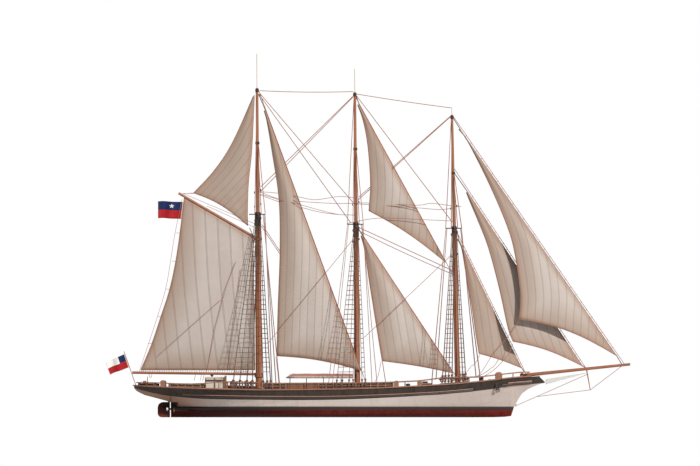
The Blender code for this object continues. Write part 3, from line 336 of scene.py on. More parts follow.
# %% Hull colours
hull_paint, tree, shader = new_material("hull_paint", 0.55, Specular_IOR_Level=0.14)
point = object_point(tree)
axes = split(tree, point)
wobble = noise(tree, point, 1.3, 3.0)
height = plus(tree, axes["Z"], times(tree, minus(tree, wobble, 0.5), 0.008))
stains = place_group(tree, "weathering", point, Scale=1.6, Low=0.42, High=0.72)
dirt = place_group(tree, "weathering", point, Scale=5.0, Low=0.50, High=0.80)
aft = ramp(tree, axes["X"], -5.5, -8.6)
white = mix(tree, times(tree, stains.outputs[0], 0.45), (0.53, 0.465, 0.43, 1),
            (0.43, 0.36, 0.32, 1))
# Darker and browner at the bow; painted shade turns the white brown towards the stern counter.
white = mix(tree, times(tree, ramp(tree, axes["X"], 1.5, 6.0), 0.30), white, (0.34, 0.26, 0.22, 1))
white = mix(tree, times(tree, aft, 0.85), white, (0.29, 0.145, 0.085, 1))
low_shade = ramp(tree, axes["Z"], 0.30, 0.05)
white = mix(tree, times(tree, low_shade, 0.12), white, (0.40, 0.30, 0.25, 1))
dark = mix(tree, stains.outputs[0], (0.050, 0.037, 0.032, 1), (0.034, 0.022, 0.018, 1))
# Painted shade: a near-black patch on the white at the heel, just above the boot-top.
heel = times(tree, ramp(tree, axes["X"], -7.98, -8.12), ramp(tree, axes["Z"], 0.31, 0.28))
white = mix(tree, heel, white, (0.028, 0.018, 0.015, 1))
boot = mix(tree, dirt.outputs[0], (0.062, 0.049, 0.048, 1), (0.046, 0.030, 0.027, 1))
red = mix(tree, stains.outputs[0], (0.200, 0.026, 0.017, 1), (0.125, 0.014, 0.009, 1))
# Painted shade: the red darkens aft, where the run curves in, and towards the keel at the bilge.
red = mix(tree, times(tree, ramp(tree, axes["X"], 1.0, -7.0), 0.70), red, (0.022, 0.003, 0.001, 1))
red = mix(tree, times(tree, ramp(tree, axes["Z"], -0.28, -0.45), 0.35), red,
          (0.030, 0.005, 0.003, 1))


print("hull colours mixed")

# %% Bands of paint by height
def above(height_socket, edge, softness=0.006):
    """One above an edge, a socket or a number, and zero under it."""
    return ramp(tree, minus(tree, height_socket, edge), -softness, softness)


colour = mix(tree, above(height, BOOT_TOP[1] * SCALE), red, boot)
colour = mix(tree, above(height, BOOT_TOP[0] * SCALE), colour, white)
edge = curve_along(tree, axes["X"], TOPSIDE_EDGE)
colour = mix(tree, above(height, edge), colour, dark)
scuffed = place_group(tree, "worn_edge", Radius=0.015, Amount=0.7)
colour = mix(tree, scuffed.outputs[0], colour, (0.24, 0.16, 0.12, 1))
gloss = plus(tree, 0.50, times(tree, dirt.outputs[0], 0.3))
fill(tree, shader, {"Base Color": colour, "Roughness": gloss})
side = put(tree, "ShaderNodeCombineXYZ", {"X": axes["X"], "Y": axes["Z"]})
plates = put(tree, "ShaderNodeTexBrick", {"Vector": side.outputs[0], "Scale": 1.0,
                                          "Mortar Size": 0.004, "Brick Width": 1.5,
                                          "Row Height": 0.32, "Mortar Smooth": 1.0})
ripple = plus(tree, times(tree, plates.outputs["Fac"], -0.5), times(tree, stains.outputs[0], 0.3))
bumped(tree, shader, ripple, 0.35, 0.006)


def give(material, *names):
    """Paint solids of the frame: their only slot takes the new material."""
    for name in names:
        nodes[name].data.materials.clear()
        nodes[name].data.materials.append(material)


give(hull_paint, "hull")
print("hull painted, white edge at midship", round(0.80 * SCALE, 3), "m")

# %% [markdown]
# ## Timber, iron and cloth finishes
#
# The spars are varnished pine, red-brown with long grain along the wood. Because the grain must
# run along each spar, there is one finish for upright spars and one for level ones, and both
# place the same grain group. Rails and houses are weathered teak. Iron is painted black and
# chipped a little. The deck is laid in narrow planks with dark caulking between them.

# %% Spar varnish
def timber(name, stretch, light, dark, roughness=0.45, contrast=0.8, coat=0.25,
           worn=(0.5, 0.3, 0.18, 1)):
    """A grained wood with worn edges; stretch is small along the grain."""
    material, tree, shader = new_material(name, roughness, Coat_Weight=coat, Coat_Roughness=0.25)
    point = object_point(tree)
    wood = place_group(tree, "timber_grain", point, Stretch=stretch, Light=light, Dark=dark,
                       Contrast=contrast)
    damp = place_group(tree, "weathering", point, Scale=2.2, Low=0.46, High=0.74)
    colour = mix(tree, times(tree, damp.outputs[0], 0.45), wood.outputs["Color"], dark)
    edge = place_group(tree, "worn_edge", Radius=0.008, Amount=0.6)
    fill(tree, shader, {"Base Color": mix(tree, edge.outputs[0], colour, worn),
                        "Roughness": plus(tree, roughness, times(tree, damp.outputs[0], 0.2))})
    bumped(tree, shader, wood.outputs["Height"], 0.3, 0.004)
    return material


mast_varnish = timber("mast_varnish", (14, 14, 0.9), (0.40, 0.142, 0.054, 1),
                      (0.225, 0.072, 0.028, 1))
spar_varnish = timber("spar_varnish", (0.9, 14, 14), (0.38, 0.132, 0.052, 1),
                      (0.215, 0.067, 0.027, 1))
teak = timber("teak", (1.2, 10, 12), (0.36, 0.165, 0.088, 1), (0.16, 0.064, 0.034, 1), 0.55,
              coat=0.05, worn=(0.5, 0.33, 0.22, 1))
slatted_teak = timber("slatted_teak", (12, 10, 1.2), (0.34, 0.17, 0.10, 1),
                      (0.16, 0.075, 0.045, 1), 0.6, coat=0.0, worn=(0.4, 0.28, 0.2, 1))
for name in ("mizzen", "main", "fore"):
    give(mast_varnish, name + "_mast", name + "_topmast")
give(mast_varnish, "ensign_staff", "steering_box", "bowsprit_bitts", "fife_rail", "helm_wheel")
give(spar_varnish, "boom", "gaff", "bowsprit")
give(teak, "rail_port", "rail_starboard")
give(slatted_teak, "saloon_house", "main_hatch")
print("timbers:", mast_varnish.name, spar_varnish.name, teak.name, slatted_teak.name)

# %% Deck planks
PLANK = 0.075                # width of a deck plank on the model
planks, tree, shader = new_material("deck_planks", 0.78, Specular_IOR_Level=0.2)
point = object_point(tree)
wood = place_group(tree, "timber_grain", point, Stretch=(0.9, 18, 6), Contrast=0.9,
                   Light=(0.34, 0.245, 0.160, 1), Dark=(0.21, 0.135, 0.082, 1))
seams = put(tree, "ShaderNodeTexBrick",
            {"Vector": point, "Scale": 1.0, "Mortar Size": 0.004, "Bias": 0.1,
             "Brick Width": 2.6, "Row Height": PLANK, "Mortar Smooth": 0.2,
             "Color1": (0.75, 0.75, 0.75, 1), "Color2": (1, 1, 1, 1),
             "Mortar": (0.05, 0.04, 0.035, 1)})
colour = mix(tree, 1.0, wood.outputs["Color"], seams.outputs["Color"], "MULTIPLY")
foot_marks = place_group(tree, "weathering", point, Scale=1.1, Low=0.45, High=0.75)
colour = mix(tree, times(tree, foot_marks.outputs[0], 0.35), colour, (0.2, 0.15, 0.1, 1))
fill(tree, shader, {"Base Color": colour})
bumped(tree, shader, plus(tree, times(tree, seams.outputs["Fac"], -1.0),
                          times(tree, wood.outputs["Height"], 0.3)), 0.5, 0.003)
give(planks, "deck")
print("deck laid in planks of", round(PLANK * 1000), "mm")

# %% Painted iron, white paint and bronze
def painted(name, colour, chipped, roughness=0.45, metallic=0.0, stain=(0.1, 0.05, 0.03, 1),
            amount=0.4):
    """Paint or metal with stains running down it and chips along its edges."""
    material, tree, shader = new_material(name, roughness, metallic)
    point = object_point(tree)
    runs = place_group(tree, "weathering", point, Scale=3.0, Low=0.48, High=0.78)
    shade = mix(tree, times(tree, runs.outputs[0], amount), colour, stain)
    edge = place_group(tree, "worn_edge", Radius=0.010, Amount=0.8)
    fill(tree, shader, {"Base Color": mix(tree, edge.outputs[0], shade, chipped),
                        "Roughness": plus(tree, roughness, times(tree, runs.outputs[0], 0.25))})
    grit = noise(tree, point, 60.0, 3.0)
    bumped(tree, shader, plus(tree, times(tree, grit, 0.2), times(tree, runs.outputs[0], 0.3)),
           0.25, 0.002)
    return material


black_iron = painted("black_iron", (0.030, 0.018, 0.015, 1), (0.13, 0.07, 0.05, 1), 0.5, 0.0,
                     (0.055, 0.025, 0.016, 1))
stay_steel = painted("stay_steel", (0.33, 0.115, 0.075, 1), (0.4, 0.2, 0.13, 1), 0.8, 0.0,
                     (0.20, 0.075, 0.05, 1))
white_paint = painted("white_paint", (0.66, 0.58, 0.50, 1), (0.34, 0.24, 0.16, 1), 0.4, 0.0,
                      (0.40, 0.30, 0.22, 1), 0.5)
bronze = painted("bronze", (0.42, 0.23, 0.09, 1), (0.7, 0.45, 0.2, 1), 0.35, 1.0,
                 (0.16, 0.20, 0.13, 1), 0.6)
for name in ("mizzen", "main", "fore"):
    give(black_iron, name + "_crosstrees")
give(black_iron, "windlass", "anchor_port", "anchor_starboard", "awning_frame")
give(stay_steel, "martingale")
give(white_paint, "deckhouse")
give(bronze, "propeller_port", "propeller_starboard")
print("paints:", black_iron.name, stay_steel.name, white_paint.name, bronze.name)

# %% Cordage
def cordage(name, light, dark):
    """Laid rope: a slanting twist, and lighter and darker lengths."""
    material, tree, shader = new_material(name, 0.8)
    point = object_point(tree)
    twist = put(tree, "ShaderNodeTexWave", {"Vector": point, "Scale": 14.0, "Distortion": 0.6,
                                            "Detail": 1.0},
                wave_type="BANDS", bands_direction="DIAGONAL")
    patches = noise(tree, point, 3.0, 3.0)
    share = plus(tree, times(tree, twist.outputs["Fac"], 0.35), times(tree, patches, 0.65))
    fill(tree, shader, {"Base Color": mix(tree, ramp(tree, share, 0.3, 0.7), dark, light)})
    bumped(tree, shader, twist.outputs["Fac"], 0.4, 0.003)
    return material


tarred = cordage("tarred_rope", (0.060, 0.042, 0.036, 1), (0.022, 0.014, 0.012, 1))
manila = cordage("manila_rope", (0.38, 0.165, 0.115, 1), (0.22, 0.085, 0.058, 1))
served = cordage("served_rope", (0.150, 0.075, 0.052, 1), (0.070, 0.034, 0.025, 1))
net_cord = cordage("net_cord", (0.74, 0.68, 0.60, 1), (0.52, 0.45, 0.38, 1))
give(tarred, "mizzen_shrouds_port", "mizzen_shrouds_starboard")
for name in ("main", "fore"):
    give(served, name + "_shrouds_port", name + "_shrouds_starboard")
give(stay_steel, "mizzen_topmast_stay", "main_topmast_stay", "main_stay", "fore_stay",
     "inner_jib_stay", "outer_jib_stay")
print("cordage:", tarred.name, manila.name, net_cord.name)

# %% [markdown]
# ## Sailcloth
#
# Each sail is sewn from narrow cloths that run parallel to the leech, its free after edge. Where
# two cloths overlap there is a double row of stitching. The edges are folded over in a broad hem,
# the tabling, and hands and weather turn the edges brown. Painted shade darkens and browns the
# cloth inwards from the leech and the foot. The pattern must follow the cloth, so it reads two
# UV maps: `panels` counts cloth widths from the leech, and `edge` gives metres to the nearest
# edge and metres to the leech or foot, where the painted shade starts. Noise in Object
# coordinates adds the stains that belong to no seam.

# %% Sailcloth finish
CLOTH_WIDTH = 0.74           # real metres of each sewn cloth
SHADED_FURTHER_IN = {"fore_staysail": 0.3, "gaff_topsail": 0.3}      # sails whose painted shade reaches further in from leech and foot
SAIL_THICKNESS = 0.006       # model metres
SAIL_ROWS, FOLD_DEPTH = 60, 0.05     # squares up a sail, and its corner folds in real metres

sailcloth, tree, shader = new_material("sailcloth", 0.86, Sheen_Weight=0.12, Sheen_Roughness=0.5)
across = uv_axes(tree, "panels")["X"]
edge_axes = uv_axes(tree, "edge")
to_edge, to_shaded_edges = edge_axes["X"], edge_axes["Y"]
point = object_point(tree)
nearest_seam = sums(tree, "ABSOLUTE", minus(tree, sums(tree, "FRACT", across), 0.5))
from_seam = minus(tree, 0.5, nearest_seam)      # in cloth widths, zero on the seam
overlap = ramp(tree, from_seam, 0.062, 0.045)
stitching = times(tree, ramp(tree, from_seam, 0.062, 0.050), ramp(tree, from_seam, 0.026, 0.040))
which = sums(tree, "FLOOR", across)
tone = put(tree, "ShaderNodeTexWhiteNoise", noise_dimensions="1D")
fill(tree, tone, {"W": which})
stains = place_group(tree, "weathering", point, Scale=0.55, Low=0.42, High=0.80)
blotches = noise(tree, point, 0.9, 5.0, 0.6)
colour = mix(tree, tone.outputs["Value"], (0.420, 0.362, 0.325, 1), (0.462, 0.402, 0.364, 1))
colour = mix(tree, times(tree, stains.outputs[0], 0.35), colour, (0.36, 0.29, 0.245, 1))
colour = mix(tree, ramp(tree, blotches, 0.35, 0.75, 0.0, 0.28), colour, (0.53, 0.47, 0.43, 1))
# Painted shade: the cloth darkens and browns inwards from the leech and the foot.
shade_in = times(tree, ramp(tree, to_shaded_edges, 1.5, 0.0), 0.66)
colour = mix(tree, shade_in, colour, (0.30, 0.205, 0.150, 1))
hand_brown = times(tree, ramp(tree, to_edge, 0.34, 0.0),
                   ramp(tree, blotches, 0.25, 0.62, 0.35, 1.0))
colour = mix(tree, times(tree, hand_brown, 0.62), colour, (0.33, 0.19, 0.12, 1))
colour = mix(tree, times(tree, overlap, 0.22), colour, (0.25, 0.17, 0.125, 1))
colour = mix(tree, times(tree, stitching, 0.62), colour, (0.14, 0.085, 0.06, 1))
hem_line = times(tree, ramp(tree, to_edge, 0.085, 0.092), ramp(tree, to_edge, 0.110, 0.103))
colour = mix(tree, times(tree, hem_line, 0.6), colour, (0.28, 0.17, 0.11, 1))
fill(tree, shader, {"Base Color": colour,
                    "Roughness": plus(tree, 0.80, times(tree, blotches, 0.12))})
weave = place_group(tree, "canvas_weave", point, Threads=240.0)
creases = noise(tree, point, 1.6, 4.0, 0.55)
tabling = ramp(tree, to_edge, 0.104, 0.096)
surface = plus(tree, times(tree, weave.outputs[0], 0.08), times(tree, overlap, 0.5))
surface = plus(tree, surface, times(tree, tabling, 0.6))
surface = plus(tree, surface, times(tree, creases, 3.0))
bumped(tree, shader, surface, 0.55, 0.010)
print("sailcloth:", len(tree.nodes), "nodes")

# %% [markdown]
# ## The sails
#
# A sail hangs between two edges: the luff on its stay or mast and the leech. A grid primitive is
# given the sail's number of squares, and each of its points is then moved onto the cloth: along the
# edges by smooth curves, out of the plane by a belly to leeward, and down or up at the foot by its
# round. The corners pull faint folds out of the cloth. These sails are stretched by stays and
# sheets, so a formula shapes them truer than a cloth simulation would. A bolt rope is sewn along
# the edges.

# %% Masts and stays that the sails hang on
MAST_AXES = {"mizzen": (-8.00, -8.20, 31.98), "main": (1.84, 1.58, 31.56),
             "fore": (11.87, 11.30, 29.30)}       # foot x at 1.3 m, head x, head z
STAY_ENDS = {
    "mizzen_topmast_stay": ((-8.10, 0.0, 31.97), (2.30, -0.50, 3.60)),
    "main_topmast_stay": ((1.66, 0.0, 31.10), (11.45, 0.0, 13.21)),
    "main_stay": ((1.75, 0.0, 18.25), (11.86, 0.0, 2.92)),
    "fore_stay": ((11.60, 0.0, 18.00), (18.77, 0.0, 3.28)),
    "inner_jib_stay": ((11.41, 0.0, 24.12), (24.74, 0.0, 3.91)),
    "outer_jib_stay": ((11.35, 0.0, 29.28), (28.60, 0.0, 4.30))}
GAFF_RADIUS, BOOM_RADIUS = 0.125, 0.13
GAFF_PEAK, GAFF_JAW_Z = Vector((-16.05, 0.0, 21.49)), 16.90
BOOM_END, BOOM_Z = Vector((-20.68, 0.0, 3.54)), 3.38


def mast_x(name, z):
    foot_x, head_x, head_z = MAST_AXES[name]
    return foot_x + (head_x - foot_x) * (z - 1.3) / (head_z - 1.3)


def stay_point(name, z, clear=0.0):
    """A point on a stay at height z, moved square to it towards its sail."""
    upper, lower = (Vector(end) for end in STAY_ENDS[name])
    run = (lower - upper).normalized()
    aft = Vector((run.z, 0.0, -run.x)).normalized()
    return upper.lerp(lower, (upper.z - z) / (upper.z - lower.z)) + aft * clear


def gaff_point(x, drop=0.0):
    jaw = Vector((mast_x("mizzen", GAFF_JAW_Z), 0.0, GAFF_JAW_Z))
    run = (GAFF_PEAK - jaw).normalized()
    square = Vector((-run.z, 0, run.x))
    return jaw.lerp(GAFF_PEAK, (x - jaw.x) / (GAFF_PEAK.x - jaw.x)) + square * drop


def boom_point(x, up=0.0):
    jaw = Vector((mast_x("mizzen", BOOM_Z), 0.0, BOOM_Z))
    return jaw.lerp(BOOM_END, (x - jaw.x) / (BOOM_END.x - jaw.x)) + Vector((0.0, 0.0, up))


print("boom", round((BOOM_END - boom_point(-8.0)).length, 2), "m, gaff",
      round((GAFF_PEAK - gaff_point(-8.1)).length, 2), "m (real ship)")

# %% Lines through points
def smooth_line(points, steps=12):
    """A curve through all points, rounded between them (Catmull-Rom)."""
    points = [np.array(p, float) for p in points]
    ends = [2 * points[0] - points[1]] + points + [2 * points[-1] - points[-2]]
    line = []
    for a, b, c, d in zip(ends, ends[1:], ends[2:], ends[3:]):
        for k in range(steps):
            t = k / steps
            line.append(0.5 * (2 * b + (c - a) * t + (2 * a - 5 * b + 4 * c - d) * t * t
                               + (3 * b - a - 3 * c + d) * t ** 3))
    return np.array(line + [points[-1]])


def along(line, share):
    """The point at a share of a line's length."""
    reached = np.concatenate(([0.0], np.cumsum(np.linalg.norm(np.diff(line, axis=0), axis=1))))
    return np.array([np.interp(share * reached[-1], reached, line[:, k])
                     for k in range(line.shape[1])])


def distance_to(line, spots):
    """Each spot's distance to a polyline."""
    best = np.full(len(spots), 1e9)
    for a, b in zip(line, line[1:]):
        run = b - a
        t = np.clip(((spots - a) @ run) / max(run @ run, 1e-9), 0, 1)
        best = np.minimum(best, np.linalg.norm(spots - (a + t[:, None] * run), axis=1))
    return best


print("line helpers ready")

# %% Finishing a piece
def finish_piece(obj, name, material, body="ship", cloth=False):
    """Name a piece, put its place in its mesh, give it its material, body and slot."""
    deselect()
    bpy.context.view_layer.objects.active = obj
    obj.select_set(True)
    bpy.ops.object.transform_apply(location=True, rotation=True, scale=True)
    if cloth:
        obj.data.polygons.foreach_set("use_smooth", [True] * len(obj.data.polygons))
    else:
        bpy.ops.object.shade_smooth_by_angle(angle=math.radians(40))
    obj.name = obj.data.name = name
    obj.data.materials.clear()
    obj.data.materials.append(material)
    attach(obj, body)
    deselect()
    return obj


def apply_modifier(obj, kind, **settings):
    modifier = obj.modifiers.new(kind.lower(), kind)
    for label, value in settings.items():
        setattr(modifier, label, value)
    deselect()
    bpy.context.view_layer.objects.active = obj
    obj.select_set(True)
    bpy.ops.object.modifier_apply(modifier=modifier.name)
    deselect()


def bevel_all(obj, offset, segments=1):
    """Bevel every edge of the active object; the offset is in real metres."""
    bpy.context.view_layer.objects.active = obj
    bpy.ops.object.mode_set(mode="EDIT")
    bpy.ops.mesh.select_all(action="SELECT")
    bpy.ops.mesh.bevel(offset=offset * SCALE, segments=segments)
    bpy.ops.object.mode_set(mode="OBJECT")


print("piece helpers ready")

# %% The form of a sail
def cut_size(obj, luff):
    """Flat size of a cut sail: its reach along the luff and square to it, and its area."""
    spots = np.array([v.co[:] for v in obj.data.vertices])
    foot, head = np.array(at(luff[0][0], 0, luff[0][1])), np.array(at(luff[-1][0], 0, luff[-1][1]))
    run = (head - foot) / np.linalg.norm(head - foot)
    reach = (spots - foot) @ run
    off = np.linalg.norm(spots - foot - reach[:, None] * run, axis=1)
    area = sum(face.area for face in obj.data.polygons)
    return float(off.max()), float(np.ptp(reach)), float(area)


def sail_surface(shape, across, up):
    """A point of a sail's smooth form, without its folds, in metres of the real ship."""
    front_edge, back_edge, hollow, clew_out, belly, luff_out, head_slack = shape
    front, back = along(front_edge, up), along(back_edge, up)
    x, z = front + (back - front) * across
    z += hollow * math.sin(math.pi * across) * (1 - up) ** 3
    fill_out = belly * math.sin(math.pi * (0.12 + (0.88 - head_slack) * up))
    y = -luff_out * (1 - up) * (1 - across) - clew_out * across * (1 - up)
    return x, y - fill_out * math.sin(math.pi * across), z


print("sail form ready")

# %% A sail from its edges
def raise_sail(name, luff, leech, hollow, clew_out, belly, luff_out=0.0, head_slack=0.12,
               columns=26, body="ship", upright=0.0):
    """A bellied sail between luff and leech, both lists of (x, z) from low to high."""
    deselect()
    bpy.ops.mesh.primitive_grid_add(x_subdivisions=columns, y_subdivisions=SAIL_ROWS, size=1.0)
    obj = bpy.context.object
    front_edge, back_edge = smooth_line(luff), smooth_line(leech)
    shape = (front_edge, back_edge, hollow, clew_out, belly, luff_out, head_slack)
    sail_shapes[name] = shape
    corners = [np.array(p, float) for p in (luff[0], leech[0], luff[-1])]
    flat = []
    for vertex in obj.data.vertices:
        across, up = vertex.co.x + 0.5, vertex.co.y + 0.5
        x, y, z = sail_surface(shape, across, up)
        for corner in corners:
            away = math.hypot(x - corner[0], z - corner[1])
            turn = math.atan2(z - corner[1], x - corner[0])
            y += (FOLD_DEPTH * math.sin(turn * 17.0) * min(away / 0.8, 1.0) * math.exp(-away / 2.2)
                  * math.sin(math.pi * across) ** 0.5 * min(1.0, 8 * up, 8 * (1 - up)))
        flat.append((x, z))
        vertex.co = at(x, y, z)
    flat = np.array(flat)
    order = back_edge[np.argsort(back_edge[:, 1])]
    slope = (order[1] - order[0]) / max(order[1][1] - order[0][1], 1e-6)
    behind = np.interp(flat[:, 1], order[:, 1], order[:, 0])
    behind += np.where(flat[:, 1] < order[0][1], (flat[:, 1] - order[0][1]) * slope[0], 0.0)
    lean = abs(back_edge[-1] - back_edge[0])
    square = lean[1] / math.hypot(*lean)
    foot = [front_edge[0] + (back_edge[0] - front_edge[0]) * t
            + np.array((0, hollow * math.sin(math.pi * t))) for t in np.linspace(0, 1, 15)]
    head = [front_edge[-1], back_edge[-1]]
    nearest = np.minimum.reduce([distance_to(np.array(edge), flat)
                                 for edge in (front_edge, back_edge, foot, head)]) * SCALE
    # Distance to the leech or foot, from which the painted shade of the cloth starts.
    to_leech_or_foot = np.minimum(distance_to(back_edge, flat), distance_to(np.array(foot), flat)) * SCALE
    obj.data.uv_layers[0].name = "panels"
    edge = obj.data.uv_layers.new(name="edge")
    panels = obj.data.uv_layers["panels"]
    for loop in obj.data.loops:
        k = loop.vertex_index
        from_leech = abs(flat[k][0] - behind[k]) * square
        from_luff = abs(flat[k][0] - front_edge[0][0])
        seam_at = from_leech * (1 - upright) + from_luff * upright
        panels.data[loop.index].uv = (seam_at / CLOTH_WIDTH, flat[k][1] / CLOTH_WIDTH)
        edge.data[loop.index].uv = (nearest[k], to_leech_or_foot[k] * SHADED_FURTHER_IN.get(name, 1.0))
    width, length, area = cut_size(obj, luff)
    apply_modifier(obj, "SOLIDIFY", thickness=SAIL_THICKNESS, offset=0.0)
    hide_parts(name)
    finish_piece(obj, name + "_cloth", sailcloth, body, cloth=True)
    print(f"{name}: {width:.2f} x {length:.2f} m, {area:.1f} m2")
    return obj, (width, length), area


def sail_spot(name, across, up):
    """A point on a finished sail, in metres of the real ship."""
    return Vector(sail_surface(sail_shapes[name], across, up))


sail_shapes = {}
print("sail helpers ready")

# %% Staysails and jibs
# columns: sail, stay, luff's gap from the stay's middle, tack z, head z, leech from clew up,
# round of the foot, how far the clew lies to starboard, belly
STAYSAILS = (
    ("mizzen_staysail", "mizzen_topmast_stay", 0.05, 3.75, 29.80,
     ((-6.23, 5.20), (-6.10, 10.0), (-5.90, 16.0), (-6.02, 21.0), (-6.70, 25.6), (-7.20, 28.6)),
     0.30, 0.8, 0.45),
    ("main_topmast_staysail", "main_topmast_stay", 0.05, 14.60, 30.40,
     ((2.98, 19.70), (3.14, 22.0), (3.06, 24.2), (2.80, 26.8), (2.36, 28.9)), 0.35, 0.7, 0.30),
    ("main_staysail", "main_stay", 0.05, 3.52, 17.30,
     ((4.31, 4.70), (3.93, 7.0), (3.54, 9.4), (3.0, 12.8), (2.55, 15.8)), 0.10, 1.1, 0.40),
    ("fore_staysail", "fore_stay", 0.14, 4.05, 17.00,
     ((13.99, 5.43), (13.67, 7.4), (13.23, 10.47), (12.65, 13.66), (12.25, 16.0)),
     0.10, 1.2, 0.35),
    ("inner_jib", "inner_jib_stay", 0.16, 4.25, 21.70,
     ((17.37, 6.64), (16.86, 8.04), (16.0, 12.0), (14.95, 15.95), (13.93, 18.63), (13.1, 20.6)),
     0.34, 1.7, 0.45),
    ("outer_jib", "outer_jib_stay", 0.16, 5.30, 28.00,
     ((18.00, 8.87), (18.10, 11.5), (17.60, 15.2), (16.86, 18.0), (15.08, 22.23), (12.9, 26.6)),
     0.64, 2.2, 0.55))

for name, stay, gap, low, high, leech, hollow, clew_out, belly in STAYSAILS:
    luff = [(spot.x, spot.z) for spot in (stay_point(stay, z, gap) for z in (low, high))]
    leech += ((luff[-1][0] - 0.15, luff[-1][1] - 0.05),)
    sail, flat, area = raise_sail(name, luff, leech, hollow, clew_out, belly,
                                  luff_out=-stay_point(stay, low).y)

# %% Spanker and gaff topsail
seat = GAFF_RADIUS - 0.0004
throat, peak = gaff_point(-8.52, seat), gaff_point(-15.42, seat)
sail, flat, area = raise_sail(
    "spanker", [(-8.40, 3.80), (throat.x, throat.z)],
    ((-19.83, 3.80), (-18.76, 6.33), (-17.82, 9.14), (-16.88, 12.1), (-16.15, 15.8),
     (peak.x, peak.z)), 0.0, 0.0, 0.45, head_slack=0.0, columns=44, body="spanker_gear",
    upright=0.8)
sail, flat, area = raise_sail(
    "gaff_topsail", ((-9.11, 18.22), (-9.15, 19.5), (-9.05, 22.5), (-8.71, 25.9), (-8.45, 31.3)),
    ((-14.56, 21.50), (-12.78, 23.4), (-11.29, 25.45), (-10.14, 27.63), (-8.58, 31.2)),
    0.43, 0.0, 0.25, body="spanker_gear")

# %% [markdown]
# ## Rope and wire
#
# Almost all rigging is line under strain, so it is drawn as straight runs between two fastenings,
# and the slack ones get a little sag. Each run is a chain of vertices, turned into a curve whose
# bevel gives it thickness, and then back into a mesh. Lines that share a body and a thickness are
# one piece. The tables name the points of each line in metres of the real ship.

# %% A helper that lays lines
def lay_lines(name, runs, radius, material, body="ship", sides=1):
    """Lines as one mesh; each run is a list of points and may end with a sag in metres."""
    deselect()
    bpy.ops.mesh.primitive_plane_add(size=1.0)
    obj = bpy.context.object
    verts, edges = [], []
    for run in runs:
        sag = run[-1] if isinstance(run[-1], (int, float)) else 0.0
        points = [Vector(p) for p in (run[:-1] if sag else run)]
        if sag:
            ends, points = points, []
            for a, b in zip(ends, ends[1:]):
                for k in range(9):
                    t = k / 8
                    points.append(a.lerp(b, t) - Vector((0, 0, 4 * sag * t * (1 - t))))
        first = len(verts)
        verts += [p * SCALE for p in points]
        edges += [(first + k, first + k + 1) for k in range(len(points) - 1)]
    obj.data.clear_geometry()
    obj.data.from_pydata(verts, edges, [])
    bpy.ops.object.convert(target="CURVE")
    obj = bpy.context.object
    obj.data.bevel_depth = radius * SCALE
    obj.data.bevel_resolution = sides
    obj.data.use_fill_caps = True
    bpy.ops.object.convert(target="MESH")
    obj = bpy.context.object
    finish_piece(obj, name, material, body)
    print(f"{name}: {len(runs)} lines, {len(obj.data.polygons)} faces")
    return obj


def both(*points):
    """A line and its twin on the other side of the ship."""
    sag = [points[-1]] if isinstance(points[-1], (int, float)) else []
    points = points[:-1] if sag else points
    return [list(points) + sag, [(x, -y, z) for x, y, z in points] + sag]


print("line helper ready")

# %% Sheer and beam at the rail
SHEER = ((-20.52, 2.20), (-18.9, 2.10), (-13.9, 1.90), (-7.9, 1.76), (-1.9, 1.79), (4.1, 1.95),
         (10.1, 2.25), (14.1, 2.60), (17.1, 2.97), (18.9, 3.11), (20.6, 3.24))


def read(table, x):
    """The value at x between the rows of a table of (x, value)."""
    return float(np.interp(x, *zip(*table)))


def sheer(x):
    return read(SHEER, x)


def rail_half(x):
    """Half the beam at the rail."""
    if x < -5.0:
        return 4.0 * math.sqrt(max(1 - ((-5.0 - x) / 15.52) ** 4, 0.0))
    return 0.09 + 3.91 * (1 - ((x - 3.0) / 17.3) ** 2.2) if x > 3.0 else 4.0


print("beam at the rail amidships:", 2 * rail_half(0.0), "m; sheer at the bow:", sheer(20.0), "m")

# %% [markdown]
# ## Shrouds, ratlines and deadeyes
#
# The shroud fans are solids of the frame. Sailors climb them on ratlines, thin lines tied across
# every half metre. Each shroud is set up at the rail with two deadeyes, flat round blocks with a
# lanyard rove between them. One deadeye is modelled from a cylinder and copied to every foot.

# %% Ratlines
# columns: mast, upper radius, height of the doubling's top, feet of the shrouds
SHROUDS = (("mizzen", 0.285, 19.6, (-10.67, -9.98, -9.25, -8.68, -7.57, -7.15, -6.80)),
           ("main", 0.260, 18.6, (-0.30, 0.27, 0.98, 1.40, 2.32, 2.67)),
           ("fore", 0.240, 18.2, (10.30, 10.60, 10.95, 11.30, 12.10, 12.40, 12.70)))
RATLINE_STEP = 0.48


def shroud_point(row, number, side, z):
    """A point at height z on a shroud, counted from aft."""
    name, top_r, high, feet = row
    top = high - 0.42
    upper = Vector((mast_x(name, top) + (number - (len(feet) - 1) / 2) * 0.075,
                    side * (top_r + 0.092), top))
    foot_x = feet[number]
    lower = Vector((foot_x, side * (rail_half(foot_x) + 0.05), sheer(foot_x) + 0.142))
    return upper.lerp(lower, (upper.z - z) / (upper.z - lower.z))


tarred_runs, brown_runs = [], []
for row in SHROUDS:
    aft_group = len(row[3]) - 3 if row[0] != "main" else 4
    for side in (-1, 1):
        for group, runs in (((0, aft_group - 1), tarred_runs if row[0] == "mizzen" else brown_runs),
                            ((aft_group, len(row[3]) - 1), brown_runs)):
            z = 3.6
            while z < row[2] - 3.0:
                runs.append([shroud_point(row, k, side, z + 0.01 * ((k * 7) % 3))
                             for k in range(group[0], group[1] + 1)])
                z += RATLINE_STEP
lay_lines("ratlines_aft", tarred_runs, 0.022, tarred)
lay_lines("ratlines_fore", brown_runs, 0.022, manila)

